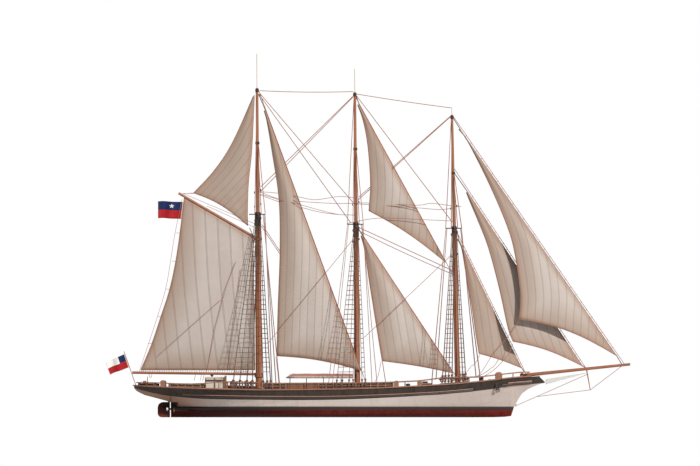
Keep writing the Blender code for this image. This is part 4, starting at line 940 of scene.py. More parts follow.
# %% One deadeye
def shape_deadeye():
    """A round block with bevelled edges, as high as it is wide."""
    deselect()
    bpy.ops.mesh.primitive_cylinder_add(vertices=12, radius=0.11 * SCALE, depth=0.11 * SCALE,
                                        rotation=(math.pi / 2, 0, 0))
    obj = bpy.context.object
    bpy.ops.object.transform_apply(location=False, rotation=True, scale=False)
    bpy.ops.object.mode_set(mode="EDIT")
    bpy.ops.mesh.select_all(action="DESELECT")
    bpy.ops.mesh.select_mode(type="FACE")
    bpy.ops.object.mode_set(mode="OBJECT")
    for face in obj.data.polygons:
        face.select = abs(face.normal.y) > 0.9
    bpy.ops.object.mode_set(mode="EDIT")
    bpy.ops.mesh.inset(thickness=0.025 * SCALE)
    bpy.ops.mesh.select_all(action="SELECT")
    bpy.ops.mesh.bevel(offset=0.012 * SCALE, segments=1)
    bpy.ops.object.mode_set(mode="OBJECT")
    deselect()
    return obj


print("deadeye helper ready")

# %% Copying and joining
def copy_to(obj, spots):
    """Copies of an object, each with its own mesh, moved to spots in real metres."""
    made = []
    for spot in spots:
        twin = obj.copy()
        twin.data = obj.data.copy()
        twin.location = Vector(spot) * SCALE
        bpy.context.scene.collection.objects.link(twin)
        made.append(twin)
    return made


def join(pieces):
    deselect()
    for piece in pieces:
        piece.select_set(True)
    bpy.context.view_layer.objects.active = pieces[0]
    bpy.ops.object.transform_apply(location=True, rotation=True, scale=True)
    bpy.ops.object.join()
    return bpy.context.object


def drop(obj):
    bpy.data.objects.remove(obj, do_unlink=True)


print("copy helpers ready")

# %% Deadeyes and lanyards
deadeye = shape_deadeye()
spots, lanyards = [], []
for row in SHROUDS:
    for number, foot_x in enumerate(row[3]):
        for side in (-1, 1):
            low = shroud_point(row, number, side, sheer(foot_x) + 0.36)
            high = shroud_point(row, number, side, sheer(foot_x) + 0.92)
            spots += [low, high]
            for shift in (-0.06, 0.0, 0.06):
                lanyards.append([low + Vector((shift, 0, 0.06)), high + Vector((shift, 0, -0.06))])
blocks = copy_to(deadeye, spots)
drop(deadeye)
finish_piece(join(blocks), "deadeyes", served, "ship")
lay_lines("lanyards", lanyards, 0.014, manila)
print("deadeyes:", len(spots))

# %% [markdown]
# ## Stays and backstays
#
# Triatic stays join the mastheads, spring stays join the doublings, and topmast shrouds run over
# the ends of the crosstrees and on as backstays to the rail. The stays are painted wire and the
# backstays rope. Lines that come from one masthead are led apart by a few centimetres.

# %% Stays between the masts
top_lines = [
    [(-7.90, 0.0, 31.74), (1.42, 0.0, 31.65), 0.10],
    [(1.66, 0.0, 31.42), (11.20, 0.0, 30.02), 0.05]]
# upper and lower end of each pair
for upper, lower in (((1.46, 0.09, 31.25), (-7.84, 0.16, 22.10)),
                     ((1.40, 0.05, 31.10), (-7.90, 0.14, 21.60)),
                     ((-7.98, 0.09, 31.55), (1.45, 0.16, 20.50)),
                     ((-8.00, 0.12, 31.40), (1.15, 0.40, 18.55)),
                     ((1.76, 0.09, 31.22), (11.32, 0.22, 18.60)),
                     ((11.18, 0.09, 29.22), (2.00, 0.16, 21.10)),
                     ((11.12, 0.07, 29.10), (1.90, 0.30, 20.80)),
                     ((-7.70, 0.20, 18.35), (1.52, 0.22, 4.60)),
                     ((-7.78, 0.26, 18.20), (1.60, 0.36, 4.20)),
                     ((1.98, 0.20, 18.06), (11.40, 0.20, 13.72))):
    top_lines += both(upper, lower)
top_lines.append([(2.0, -0.30, 17.70), (11.42, -0.24, 13.35), 0.10])
lay_lines("mast_stays", top_lines, 0.038, stay_steel)

# %% Topmast shrouds and backstays
# columns: mast, head z, band z, crosstrees z, feet of the forward stays, feet of the aft backstays
TOPMASTS = (("mizzen", 31.6, 26.3, 19.32, (-6.70, -6.30, -5.95), ()),
            ("main", 31.2, 25.7, 18.32, (3.30, 3.80, 4.66), (-1.05, -0.65)),
            ("fore", 29.0, 23.3, 17.92, (13.70, 14.10), (9.30, 9.70)))
shrouds, backstays = [], []
for name, head, band, tree, forward, aft in TOPMASTS:
    x = mast_x(name, tree)
    if name != "mizzen":          # the topsail swings through the place of these two
        shrouds += both((mast_x(name, head) - 0.08, 0.06, head), (x - 0.86, 1.04, tree + 0.05))
    shrouds += both((mast_x(name, head) - 0.02, 0.09, head - 0.3), (x - 0.30, 1.08, tree + 0.05))
    shrouds += both((mast_x(name, band) + 0.12, 0.10, band), (x + 0.74, 1.02, tree + 0.05))
    shrouds += both((mast_x(name, band) + 0.05, 0.14, band), (x + 0.34, 1.08, tree + 0.05))
    for feet, reach, step in ((forward, 0.72, -0.10), (aft, -0.84, 0.10)):
        for k, foot in enumerate(feet):
            backstays += both((x + reach + step * k, 1.00, tree),
                              (foot, rail_half(foot) - 0.06, sheer(foot) + 0.62))
lay_lines("topmast_shrouds", shrouds, 0.034, stay_steel)
lay_lines("backstays", backstays, 0.026, manila)

# %% Slack lines aloft
aloft = [
    [(-7.90, -0.2, 21.63), (-6.06, -0.3, 21.47), (-4.22, -0.5, 21.14), (-2.37, -0.5, 20.82),
     (-0.10, -0.3, 21.14), (1.48, -0.2, 21.03)],
    [(-7.90, -0.2, 21.60), (-6.06, -0.3, 20.92), (-4.0, -0.6, 20.66), (-1.94, -0.5, 20.52),
     (-0.10, -0.3, 20.44), (1.53, -0.2, 20.47)],
    [(-7.86, -0.2, 21.40), (-5.9, -0.5, 20.80), (-3.9, -0.7, 20.33), (-1.94, -0.5, 19.78),
     (-0.10, -0.3, 19.36), (1.50, -0.2, 19.30)],
    [(-7.86, 0.2, 21.30), (-5.9, 0.3, 20.60), (-3.9, 0.3, 20.10), (-1.94, 0.3, 19.60),
     (-0.10, 0.3, 19.36), (1.50, 0.2, 19.30)],
    [(0.78, -0.6, 18.45), (4.0, -0.9, 18.97), (8.65, -0.7, 18.81), (11.30, -0.2, 18.70)],
    [(1.60, -0.2, 20.49), (3.10, -0.5, 20.49), (7.78, -0.5, 20.27), (9.19, -0.4, 20.46),
     (11.30, -0.2, 20.22)],
    [(1.60, -0.2, 20.42), (5.0, -0.6, 20.20), (8.0, -0.5, 20.0), (9.95, -0.4, 19.84),
     (11.34, -0.2, 19.95)],
    [(11.50, -0.1, 20.16), (12.2, -0.6, 20.16)]]
lay_lines("slack_lines", [[tuple(p) for p in smooth_line(run, 5)] for run in aloft], 0.030, manila)
led = [[(1.60, -0.30, 17.10), (-7.10, -2.95, 6.45)], [(11.45, -0.30, 15.50), (2.52, -2.80, 7.04)],
       [(1.62, -0.34, 16.90), (1.72, -0.36, 9.0), (1.78, -0.40, 3.2)],
       [(-8.00, -0.36, 16.0), (-7.95, -0.42, 9.0), (-7.92, -0.46, 3.2)],
       [(11.62, -0.30, 15.0), (11.72, -0.34, 9.0), (11.86, -0.38, 3.3)]]
lay_lines("led_lines", led, 0.028, manila)

# %% [markdown]
# ## Ropes on the sails
#
# A bolt rope is sewn round every sail. Hanks hold the luffs of the staysails and jibs to their
# stays, hoops hold the spanker to the mast, and a lacing holds its foot to the boom. The jibs'
# luffs show a strip of daylight crossed by the hanks, so these are short stubs from rope to stay.

# %% Bolt ropes and hanks
def bolt_rope(sail, name, radius=0.030, body="ship"):
    """A rope sewn along the luff, leech and foot of a sail."""
    shares = [k / 28 for k in range(29)]
    edges = [[(0, t) for t in shares], [(1, t) for t in shares], [(t, 0) for t in shares]]
    runs = [[tuple(sail_spot(sail, across, up)) for across, up in edge] for edge in edges]
    lay_lines(name, runs, radius, manila, body)


for name, *_ in STAYSAILS:
    bolt_rope(name, name + "_bolt_rope")
hanks = []
for name, stay, *_ in STAYSAILS:
    upper, lower = (Vector(end) for end in STAY_ENDS[stay])
    run = (lower - upper).normalized()
    for k in range(1, 30):
        spot = sail_spot(name, 0, k / 30)
        foot = upper + run * (spot - upper).dot(run)
        overlap = (foot - spot).normalized() * 0.05
        hanks.append([spot - overlap, foot + overlap])
lay_lines("hanks", hanks, 0.026, manila)
HEAD, TACK = 0.995, 0.005    # shares of the luff where a pennant is made fast
pennants = [[sail_spot(name, 0, share), (x, 0.0, z)] for name, share, x, z in (
    ("outer_jib", HEAD, 11.40, 29.05), ("inner_jib", HEAD, 11.56, 23.45),
    ("fore_staysail", HEAD, 11.78, 17.75), ("main_staysail", HEAD, 1.90, 18.0),
    ("main_topmast_staysail", HEAD, 1.70, 31.25), ("mizzen_staysail", HEAD, -8.05, 31.4),
    ("outer_jib", TACK, 28.25, 4.42), ("inner_jib", TACK, 24.62, 4.05),
    ("fore_staysail", TACK, 18.55, 3.55))]
lay_lines("head_pennants", pennants, 0.048, served)
bolt_rope("spanker", "spanker_bolt_rope", 0.032, "spanker_gear")
bolt_rope("gaff_topsail", "topsail_bolt_rope", body="spanker_gear")

# %% Lacing, brails, halyards and sheets of the spanker
gear = []
for k in range(1, 24):
    x = -8.7 - k * 0.465
    gear.append([boom_point(x, BOOM_RADIUS - 0.03), (x + 0.12, -0.02, 3.82)])
    gear.append([boom_point(x - 0.2, BOOM_RADIUS - 0.03), (x - 0.12, 0.02, 3.82)])
leech_line = [tuple(p) for p in smooth_line(
    [(-15.70, -0.05, 20.9), (-16.48, -0.10, 17.0), (-17.25, -0.12, 12.3), (-18.20, -0.10, 9.0),
     (-19.12, -0.06, 6.2), (-19.98, 0.0, 3.62)], 8)]
gear.append(leech_line)
for t in (0.16, 0.32, 0.48, 0.64, 0.80):
    spot = sail_spot("spanker", 1, t)
    gear.append([spot, spot + Vector((-0.36, -0.08, 0.05))])
gear += [[(-11.82, -0.62, 10.81), (-14.9, -0.70, 8.1), (-18.28, -0.10, 5.07)],
         [(-10.3, -0.42, 14.64), (-11.32, -0.62, 11.96), (-12.4, -0.62, 7.9), (-13.24, -0.16, 3.6)],
         [(-9.8, -0.40, 13.9), (-10.43, -0.58, 8.8), (-11.20, -0.16, 3.6)],
         [(-15.60, 0.0, 21.45), (-8.25, 0.0, 18.35)], [(-13.2, -0.05, 20.2), (-8.30, -0.08, 18.0)],
         [(-14.55, 0.0, 21.45), (-15.55, 0.0, 21.45)],
         [(-9.0, -0.1, 18.1), (-8.4, -0.2, 16.6)], [(-8.9, 0.1, 18.0), (-8.35, 0.2, 16.7)]]
for x in (-14.35, -13.75, -13.5):
    gear.append([(x, 0.0, 3.30), (x - 0.14, 0.0, 2.72)])
gear += [[(-19.0, 0.06, 3.4), (-18.9, 0.10, 3.0)], [(-18.7, -0.06, 3.4), (-18.8, -0.10, 3.0)]]
lay_lines("spanker_gear_lines", gear, 0.024, manila, "spanker_gear")

deselect()
bpy.ops.mesh.primitive_torus_add(major_radius=0.375 * SCALE, minor_radius=0.022 * SCALE,
                                 major_segments=28, minor_segments=6)
hoop = bpy.context.object
hoops = copy_to(hoop, [(mast_x("mizzen", z), 0, z) for z in np.arange(4.5, 16.3, 0.9)])
drop(hoop)
finish_piece(join(hoops), "mast_hoops", manila, "spanker_gear")
print("mast hoops joined")

# %% [markdown]
# ## Flags
#
# Flags are light woven cloth that hangs from its hoist and ripples towards the fly. The stripes
# are sewn from plain cloth, so the colours are laid out on a UV map, with a seam where they meet.
# The ripples grow from hoist to fly and travel slightly downwards, as a breeze makes them.

# %% Flag cloth
def flag_cloth(name, upper, lower, canton=None, star=None):
    material, tree, shader = new_material(name, 0.8, Sheen_Weight=0.04, Specular_IOR_Level=0.15)
    axes = uv_axes(tree, "spread")
    u, v = axes["X"], axes["Y"]
    colour = mix(tree, ramp(tree, v, 0.494, 0.506), lower, upper)
    if canton:
        corner = times(tree, ramp(tree, v, 0.494, 0.506), ramp(tree, u, 0.366, 0.354))
        colour = mix(tree, corner, colour, canton)
    if star:
        off_u = times(tree, minus(tree, u, star[0]), 1.35)
        off_v = minus(tree, v, star[1])
        turn = sums(tree, "ARCTAN2", off_u, off_v)
        away = sums(tree, "SQRT", plus(tree, times(tree, off_u, off_u), times(tree, off_v, off_v)))
        points = sums(tree, "COSINE", times(tree, turn, 5.0))
        reach = plus(tree, 0.085, times(tree, points, 0.045))
        inside = ramp(tree, minus(tree, reach, away), -0.006, 0.006)
        colour = mix(tree, inside, colour, (0.78, 0.76, 0.74, 1))
    point = object_point(tree)
    faded = place_group(tree, "weathering", point, Scale=2.0, Low=0.4, High=0.8)
    colour = mix(tree, times(tree, faded.outputs[0], 0.06), colour, (0.30, 0.26, 0.25, 1))
    hem = times(tree, ramp(tree, u, 0.045, 0.03), 0.8)
    weave = place_group(tree, "canvas_weave", point, Threads=420.0)
    fill(tree, shader, {"Base Color": mix(tree, hem, colour, (0.62, 0.57, 0.50, 1)),
                        "Roughness": plus(tree, 0.72, times(tree, weave.outputs[0], 0.15))})
    bumped(tree, shader, weave.outputs[0], 0.3, 0.002)
    return material


print("flag finish ready")

# %% A rippling flag
def fly_flag(name, hoist, fly, material, body, ripple, y=0.0):
    """A rippling flag between its hoist and fly, both (x, z) from low to high."""
    deselect()
    bpy.ops.mesh.primitive_grid_add(x_subdivisions=28, y_subdivisions=14, size=1.0)
    obj = bpy.context.object
    obj.data.uv_layers[0].name = "spread"
    for vertex in obj.data.vertices:
        u, v = vertex.co.x + 0.5, vertex.co.y + 0.5
        near = np.array(hoist[0]) * (1 - v) + np.array(hoist[1]) * v
        far = np.array(fly[0]) * (1 - v) + np.array(fly[1]) * v
        x, z = near * (1 - u) + far * u
        wave = ripple * min(1.0, 1.6 * u) * math.sin(u * 9.5 + v * 1.4)
        z += 0.035 * math.sin(u * 9.5 + 0.8) * u
        vertex.co = at(x, y + wave, z)
    tall = (Vector((hoist[1][0], 0, hoist[1][1])) - Vector((hoist[0][0], 0, hoist[0][1]))).length
    area = sum(face.area for face in obj.data.polygons)
    flat = (tall * SCALE * 1.04, area / (tall * SCALE * 1.02))
    apply_modifier(obj, "SOLIDIFY", thickness=0.003, offset=0.0)
    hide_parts(name)
    finish_piece(obj, name + "_cloth", material, body, cloth=True)
    print(f"{name}: {flat[0]:.2f} x {flat[1]:.2f} m, {area:.2f} m2")
    return obj, flat, area


print("flag helper ready")

# %% Ensign and house flag
blue, red_dye, white_dye = (0.008, 0.020, 0.085, 1), (0.36, 0.012, 0.016, 1), (0.74, 0.72, 0.70, 1)
ensign_cloth = flag_cloth("ensign_cloth", white_dye, red_dye, canton=blue)
house_cloth = flag_cloth("house_flag_cloth", blue, red_dye, star=(0.45, 0.74))
foot, top = Vector((-20.34, 0.90, 2.30)), Vector((-21.51, 0.90, 5.66))
run = (top - foot).normalized()
aft = Vector((-run.z, 0.0, run.x)) * (0.035 + 0.002)
low, high = foot + run * 1.90 + aft, foot + run * 3.30 + aft
flag, flat, area = fly_flag("ensign", [(low.x, low.z), (high.x, high.z)],
                            [(low.x - 1.9, low.z - 0.72), (high.x - 1.9, high.z - 0.85)],
                            ensign_cloth, "ship", 0.12, y=0.90)
flag, flat, area = fly_flag("house_flag", [(-15.7555, 18.9), (-15.5535, 20.6)],
                            [(-18.1, 19.0), (-18.1, 20.7)], house_cloth, "spanker_gear", 0.11)

# %% [markdown]
# ## Awning and bowsprit net
#
# The awning is a canvas roof stretched over ridge and side bars, with a pale valance hanging from
# its edge and a pointed after end. One grid makes roof and valance together, and the finish changes
# colour where the cloth turns down. The net under the bowsprit is rope netting: a sheet whose
# finish is clear between the cords, with a rope round its edge.

# %% Awning canvas
awning_canvas, tree, shader = new_material("awning_canvas", 0.85, Sheen_Weight=0.15)
axes = uv_axes(tree, "spread")
out = sums(tree, "ABSOLUTE", minus(tree, axes["Y"], 0.5))
point = object_point(tree)
dust = place_group(tree, "weathering", point, Scale=2.4, Low=0.4, High=0.75)
roof = mix(tree, times(tree, dust.outputs[0], 0.4), (0.44, 0.150, 0.105, 1), (0.46, 0.28, 0.21, 1))
skirt = mix(tree, times(tree, dust.outputs[0], 0.5), (0.50, 0.385, 0.31, 1), (0.38, 0.26, 0.19, 1))
colour = mix(tree, ramp(tree, out, 0.425, 0.435), roof, skirt)
within = sums(tree, "FRACT", times(tree, axes["X"], 9.0))
seam = ramp(tree, sums(tree, "ABSOLUTE", minus(tree, within, 0.5)), 0.47, 0.485)
colour = mix(tree, times(tree, seam, 0.5), colour, (0.14, 0.06, 0.045, 1))
fill(tree, shader, {"Base Color": colour})
weave = place_group(tree, "canvas_weave", point, Threads=300.0)
bumped(tree, shader, plus(tree, times(tree, weave.outputs[0], 0.3), seam), 0.4, 0.004)
print("canvas:", len(tree.nodes), "nodes")

# %% Awning
AWNING_X, AWNING_HALF = (-5.33, 1.45), 1.75
POSTS_X = (-4.9, -3.25, -1.55, 0.2)
deselect()
bpy.ops.mesh.primitive_grid_add(x_subdivisions=64, y_subdivisions=40, size=1.0)
awning = bpy.context.object
awning.data.uv_layers[0].name = "spread"
for vertex in awning.data.vertices:
    u, v = vertex.co.x + 0.5, vertex.co.y + 0.5
    x = AWNING_X[0] + (AWNING_X[1] - AWNING_X[0]) * u
    taper = min(1.0, 0.12 + 1.1 * math.sqrt(max(u, 0.0)) * 2.3) if u < 0.15 else 1.0
    side = (v - 0.5) / 0.43
    nearest_post = min(abs(x - post) for post in POSTS_X)
    slack = 0.03 * math.cos(min(nearest_post, 0.85) / 0.85 * math.pi / 2)
    if abs(side) <= 1.0:
        y = side * AWNING_HALF
        crown = 0.215 * (1 - abs(side) ** 1.7) * (0.4 + 0.6 * taper)
        z = 3.215 + crown - 0.02 + slack * (1 - abs(side))
    else:
        drop_by = (abs(side) - 1.0) / 0.163
        y = math.copysign(AWNING_HALF + 0.006 * math.sin(x * 9.0) * drop_by, side)
        scallop = 0.03 * abs(math.sin((x - AWNING_X[0]) * math.pi / 0.68))
        z = 3.195 - drop_by * (0.225 - scallop) * (0.35 + 0.65 * taper)
    lift = min(1.0, (u / 0.10) ** 0.7)
    vertex.co = at(x, y * (0.55 + 0.45 * taper), 2.99 + (z - 2.99) * (0.10 + 0.90 * lift))
area = sum(face.area for face in awning.data.polygons)
apply_modifier(awning, "SOLIDIFY", thickness=0.004, offset=0.0)
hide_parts("awning")
finish_piece(awning, "awning_cloth", awning_canvas, "ship", cloth=True)
flat = ((2 * AWNING_HALF + 0.5) * SCALE, (AWNING_X[1] - AWNING_X[0]) * SCALE)
print(f"awning: {flat[0]:.2f} x {flat[1]:.2f} m")

# %% Bowsprit net
ALONG_CORDS, ACROSS_CORDS = 26.0, 8.0        # how many times the slanting cords cross each side
netting, tree, shader = new_material("netting", 0.8)
axes = uv_axes(tree, "spread")
lengthwise, crosswise = times(tree, axes["X"], ALONG_CORDS), times(tree, axes["Y"], ACROSS_CORDS)
first, second = plus(tree, lengthwise, crosswise), minus(tree, lengthwise, crosswise)
cords = [ramp(tree, sums(tree, "ABSOLUTE", minus(tree, sums(tree, "FRACT", line), 0.5)),
              0.34, 0.38) for line in (first, second)]
cord = sums(tree, "MAXIMUM", *cords)
point = object_point(tree)
wear_marks = place_group(tree, "weathering", point, Scale=4.0, Low=0.4, High=0.8)
hemp = mix(tree, wear_marks.outputs[0], (0.66, 0.60, 0.53, 1), (0.45, 0.36, 0.28, 1))
fill(tree, shader, {"Base Color": hemp, "Alpha": cord})
bumped(tree, shader, cord, 0.5, 0.004)

NET_X = (20.70, 24.80)
deselect()
bpy.ops.mesh.primitive_grid_add(x_subdivisions=30, y_subdivisions=16, size=1.0)
net = bpy.context.object
net.data.uv_layers[0].name = "spread"
edges = {-1: [], 1: []}
for vertex in net.data.vertices:
    u, v = vertex.co.x + 0.5, (vertex.co.y + 0.5) * 2 - 1
    x = NET_X[0] + (NET_X[1] - NET_X[0]) * u
    half = 0.62 * (1 - u) + 0.04 * u
    rim = 2.86 + (3.52 - 2.86) * u
    sag = 0.50 * (1 - u) + 0.03 * u
    vertex.co = at(x, half * v, rim - sag * (1 - v * v))
    if abs(abs(v) - 1) < 1e-4:
        edges[round(v)].append(tuple(vertex.co / SCALE))
area = sum(face.area for face in net.data.polygons)
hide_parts("bowsprit_net")
finish_piece(net, "bowsprit_netting", netting, "ship", cloth=True)
flat = (1.66 * SCALE, (NET_X[1] - NET_X[0] + 0.1) * SCALE)
rims = [sorted(run, key=lambda p: p[0]) for run in edges.values()]
stern_edge = [(NET_X[0], 0.62 * t, 2.86 - 0.5 * (1 - t * t)) for t in np.linspace(-1, 1, 13)]
lay_lines("net_edge_rope", rims + [stern_edge], 0.022, net_cord)
print("net:", round(area, 2), "m2")

# %% [markdown]
# ## Mouldings, wales and hull fittings
#
# Along the side run a half-round moulding and, under it, a dark wale. They follow the plating, so
# each station's half breadth is read from the hull itself by a ray cast inwards. A bar is made
# from a grid rolled round its section: one direction runs along the ship, the other round it.

# %% A bar along a path
def bar_along(stations, section):
    """A closed bar: a section of (y, z) offsets carried through points, Y outwards."""
    deselect()
    count, corners = len(stations), len(section)
    bpy.ops.mesh.primitive_grid_add(x_subdivisions=count - 1, y_subdivisions=corners, size=1.0)
    obj = bpy.context.object
    for vertex in obj.data.vertices:
        i = round((vertex.co.x + 0.5) * (count - 1))
        j = round((vertex.co.y + 0.5) * corners) % corners
        spot, side = stations[i]
        vertex.co = at(spot[0], spot[1] + side * section[j][0], spot[2] + section[j][1])
    bpy.ops.object.mode_set(mode="EDIT")
    bpy.ops.mesh.select_all(action="SELECT")
    bpy.ops.mesh.remove_doubles(threshold=0.0002)
    bpy.ops.mesh.fill_holes(sides=0)
    bpy.ops.mesh.normals_make_consistent(inside=False)
    bpy.ops.object.mode_set(mode="OBJECT")
    deselect()
    return obj


def hull_side(x, z):
    """Half breadth of the hull at x and z, in metres of the real ship."""
    hit, spot, _, _ = nodes["hull"].ray_cast(at(x, -8.0, z), Vector((0, 1, 0)))
    return -spot.y / SCALE if hit else None


def strake(name, table, section, material, step=0.5):
    """A bar on both sides of the hull that follows a table of (x, z)."""
    bars = []
    for side in (-1, 1):
        xs = np.arange(table[0][0], table[-1][0] + 0.01, step)
        stations = []
        for x in xs:
            z = read(table, x)
            half = hull_side(x, z)
            if half:
                stations.append(((x, side * half, z), side))
        bars.append(bar_along(stations, section))
    finish_piece(join(bars), name, material)


def half_round(out, tall):
    return [(-0.03, -tall / 2), (out * 0.7, -tall * 0.35), (out, 0.0), (out * 0.7, tall * 0.35),
            (-0.03, tall / 2)]


print("bar helpers ready")

# %% Mouldings on the hull
moulding_paint = painted("moulding_paint", (0.33, 0.19, 0.135, 1), (0.46, 0.32, 0.24, 1), 0.6, 0.0,
                         (0.16, 0.09, 0.06, 1), 0.6)
MOULDING = ((-15.6, 1.33), (-12.0, 1.24), (-7.9, 1.17), (-1.9, 1.15), (1.1, 1.20), (4.1, 1.32),
            (6.1, 1.40), (10.1, 1.62), (13.6, 1.94))
strake("side_moulding", MOULDING, half_round(0.05, 0.09), moulding_paint)
strake("dark_wale", [(x, z - 0.17) for x, z in MOULDING], half_round(0.06, 0.20), black_iron)
strake("bow_moulding", ((16.9, 2.49), (17.8, 2.58), (18.8, 2.66), (19.4, 2.72)),
       half_round(0.05, 0.13), moulding_paint, 0.3)
strake("bow_wale", ((16.3, 2.24), (17.6, 2.38), (18.6, 2.46), (19.4, 2.54)),
       half_round(0.09, 0.26), black_iron, 0.3)
strake("bow_lower_moulding", ((16.4, 2.03), (17.4, 2.18), (18.4, 2.29), (19.2, 2.38)),
       half_round(0.05, 0.09), moulding_paint, 0.3)
print("mouldings follow the side from", MOULDING[0][0], "to", MOULDING[-1][0], "m")

# %% Scuppers, rudder paint and straps
scuppers = []
for x, z in ((-5.34, 1.07), (6.66, 1.27), (10.03, 1.50), (-11.5, 1.05)):
    half = hull_side(x, z)
    for side in (-1, 1):
        scuppers.append([(x, side * (half - 0.05), z), (x, side * (half + 0.10), z)])
lay_lines("scuppers", scuppers, 0.075, black_iron, sides=2)

rudder_paint, tree, shader = new_material("rudder_paint", 0.6, Specular_IOR_Level=0.14)
point = object_point(tree)
axes = split(tree, point)
slime = place_group(tree, "weathering", point, Scale=3.0, Low=0.42, High=0.75)
line = plus(tree, axes["Z"], times(tree, plus(tree, axes["X"], 8.75), 0.25))
red = mix(tree, slime.outputs[0], (0.145, 0.030, 0.020, 1), (0.085, 0.020, 0.014, 1))
black = mix(tree, slime.outputs[0], (0.030, 0.018, 0.015, 1), (0.045, 0.030, 0.026, 1))
colour = mix(tree, ramp(tree, line, 0.05, 0.062), red, black)
edge = place_group(tree, "worn_edge", Radius=0.012, Amount=0.7)
fill(tree, shader, {"Base Color": mix(tree, edge.outputs[0], colour, (0.20, 0.10, 0.07, 1))})
bumped(tree, shader, slime.outputs[0], 0.3, 0.004)
give(rudder_paint, "rudder")
straps = []
for side in (-1, 1):
    for z in (-0.62, 0.35):
        straps.append([(-17.05, side * 0.075, z), (-17.60, side * 0.085, z + 0.06)])
    straps.append([(-17.60, side * 0.085, 0.06), (-17.16, side * 0.16, -0.12),
                   (-17.60, side * 0.085, -0.30)])
lay_lines("rudder_straps", straps, 0.045, black_iron, "rudder_body")
print("hull fittings done")

# %% [markdown]
# ## Bulwark boards, pin rails and balusters
#
# Between cap and top rail stand weather boards amidships, with near-black boards between brown
# frames as painted shadow in the gaps. By each mast an inner rail is pierced for belaying pins,
# the wooden pegs that every line is made fast to. A pin is a cylinder drawn in and out at its
# waist and head. Turned balusters close the rail beside the mizzen mast, with a board of painted
# shadow behind them.

# %% Weather boards
TOP_RAIL = ((-20.5, 2.55), (-18.3, 2.53), (-17.0, 2.45), (-14.0, 2.40), (-11.5, 2.62), (-8.5, 2.62),
            (-8.0, 2.47), (2.8, 2.52), (5.3, 2.59), (8.1, 2.73), (10.5, 3.05), (13.9, 3.10),
            (15.7, 3.32), (18.1, 3.58), (19.1, 3.60))
STATION_STEP = 0.45          # real metres between the stations of a board


def top_rail(x):
    return read(TOP_RAIL, x)


def plank_along(x0, x1, low, high, inboard, thick=0.05):
    """A board on both sides; low and high are (curve, offset), inboard is from the rail's edge."""
    made = []
    for side in (-1, 1):
        xs = np.linspace(x0, x1, max(2, int((x1 - x0) / STATION_STEP) + 1))
        stations = [((x, side * (rail_half(x) - inboard), 0.0), side) for x in xs]
        obj = bar_along(stations, [(0, 0), (thick, 0), (thick, 1), (0, 1)])
        for vertex in obj.data.vertices:
            x = vertex.co.x / SCALE
            curve, offset = high if vertex.co.z > 0.25 * SCALE else low
            vertex.co.z = (curve(x) + offset) * SCALE
        made.append(obj)
    return made


brown, shadowed = [], []
# Painted shadow: near-black boards fill the gaps between the brown frames and back the balusters.
shadow_board_paint = painted("shadow_board_paint", (0.050, 0.028, 0.020, 1), (0.12, 0.07, 0.05, 1), 0.7)
for x0, x1 in ((-7.45, -5.42), (-2.13, 5.35), (-20.05, -18.0), (-16.9, -13.45)):
    brown += plank_along(x0, x1, (top_rail, -0.05), (top_rail, 0.03), 0.22)
    brown += plank_along(x0, x1, (top_rail, -0.34), (top_rail, -0.26), 0.23)
    shadowed += plank_along(x0, x1, (sheer, 0.10), (top_rail, -0.07), 0.32, 0.03)
    for x in np.arange(x0 + 0.05, x1, 0.74):
        brown += plank_along(x, x + 0.11, (sheer, 0.10), (top_rail, -0.02), 0.24, 0.06)
brown += plank_along(5.35, 19.0, (top_rail, -0.07), (top_rail, 0.05), 0.22)
boards = finish_piece(join(brown), "weather_boards", teak, "ship")
# Painted shadow behind the balusters: a dark board inboard of them.
shadowed += plank_along(-11.2, -8.3, (sheer, 0.10), (sheer, 0.42), 0.42, 0.03)
finish_piece(join(shadowed), "inner_boards", shadow_board_paint, "ship")
print("weather boards:", len(boards.data.polygons), "faces")

# %% A turned peg
def upright_cylinder(sides, radius, tall, x, y, z):
    """A cylinder round a middle point, in real metres."""
    deselect()
    bpy.ops.mesh.primitive_cylinder_add(vertices=sides, radius=radius * SCALE, depth=tall * SCALE,
                                        location=at(x, y, z))
    return bpy.context.object


def shape_pin(tall, radius, rings):
    """A turned peg standing on its foot; rings are (height share, radius share)."""
    obj = upright_cylinder(8, radius, tall, 0, 0, tall / 2)
    bpy.ops.object.transform_apply(location=True, rotation=False, scale=False)
    bpy.ops.object.mode_set(mode="EDIT")
    for share, _ in rings:
        bpy.ops.mesh.select_all(action="SELECT")
        bpy.ops.mesh.bisect(plane_co=(0, 0, tall * SCALE * share), plane_no=(0, 0, 1))
    bpy.ops.object.mode_set(mode="OBJECT")
    for vertex in obj.data.vertices:
        share = vertex.co.z / (tall * SCALE)
        grow = read([(0.0, rings[0][1]), *rings, (1.0, rings[-1][1])], share)
        vertex.co.x *= grow
        vertex.co.y *= grow
    deselect()
    return obj


print("turning helper ready")

# %% Belaying pins and balusters
pin = shape_pin(0.46, 0.055, ((0.05, 0.5), (0.45, 0.6), (0.52, 1.0), (0.62, 0.55), (0.85, 0.9),
                              (0.96, 0.6)))
spots, racks = [], []
for x0, x1 in ((-10.9, -6.5), (-0.6, 3.0), (10.0, 13.0)):
    racks += plank_along(x0, x1, (top_rail, -0.20), (top_rail, -0.10), 0.62, 0.22)
    for x in np.arange(x0 + 0.15, x1, 0.27):
        for side in (-1, 1):
            spots.append((x, side * (rail_half(x) - 0.51), top_rail(x) - 0.38))
pins = copy_to(pin, spots)
drop(pin)
finish_piece(join(racks), "pin_racks", teak, "ship")
finish_piece(join(pins), "belaying_pins", mast_varnish, "ship")
baluster = shape_pin(0.62, 0.06, ((0.06, 1.0), (0.16, 0.55), (0.34, 1.0), (0.62, 0.6), (0.84, 0.6),
                                  (0.93, 1.0)))
spots = [(x, side * (rail_half(x) - 0.26), sheer(x) + 0.11)
         for x in np.arange(-11.45, -8.6, 0.30) for side in (-1, 1)]
balusters = copy_to(baluster, spots)
drop(baluster)
finish_piece(join(balusters), "balusters", teak, "ship")
print("pins and balusters:", len(pins), len(balusters))

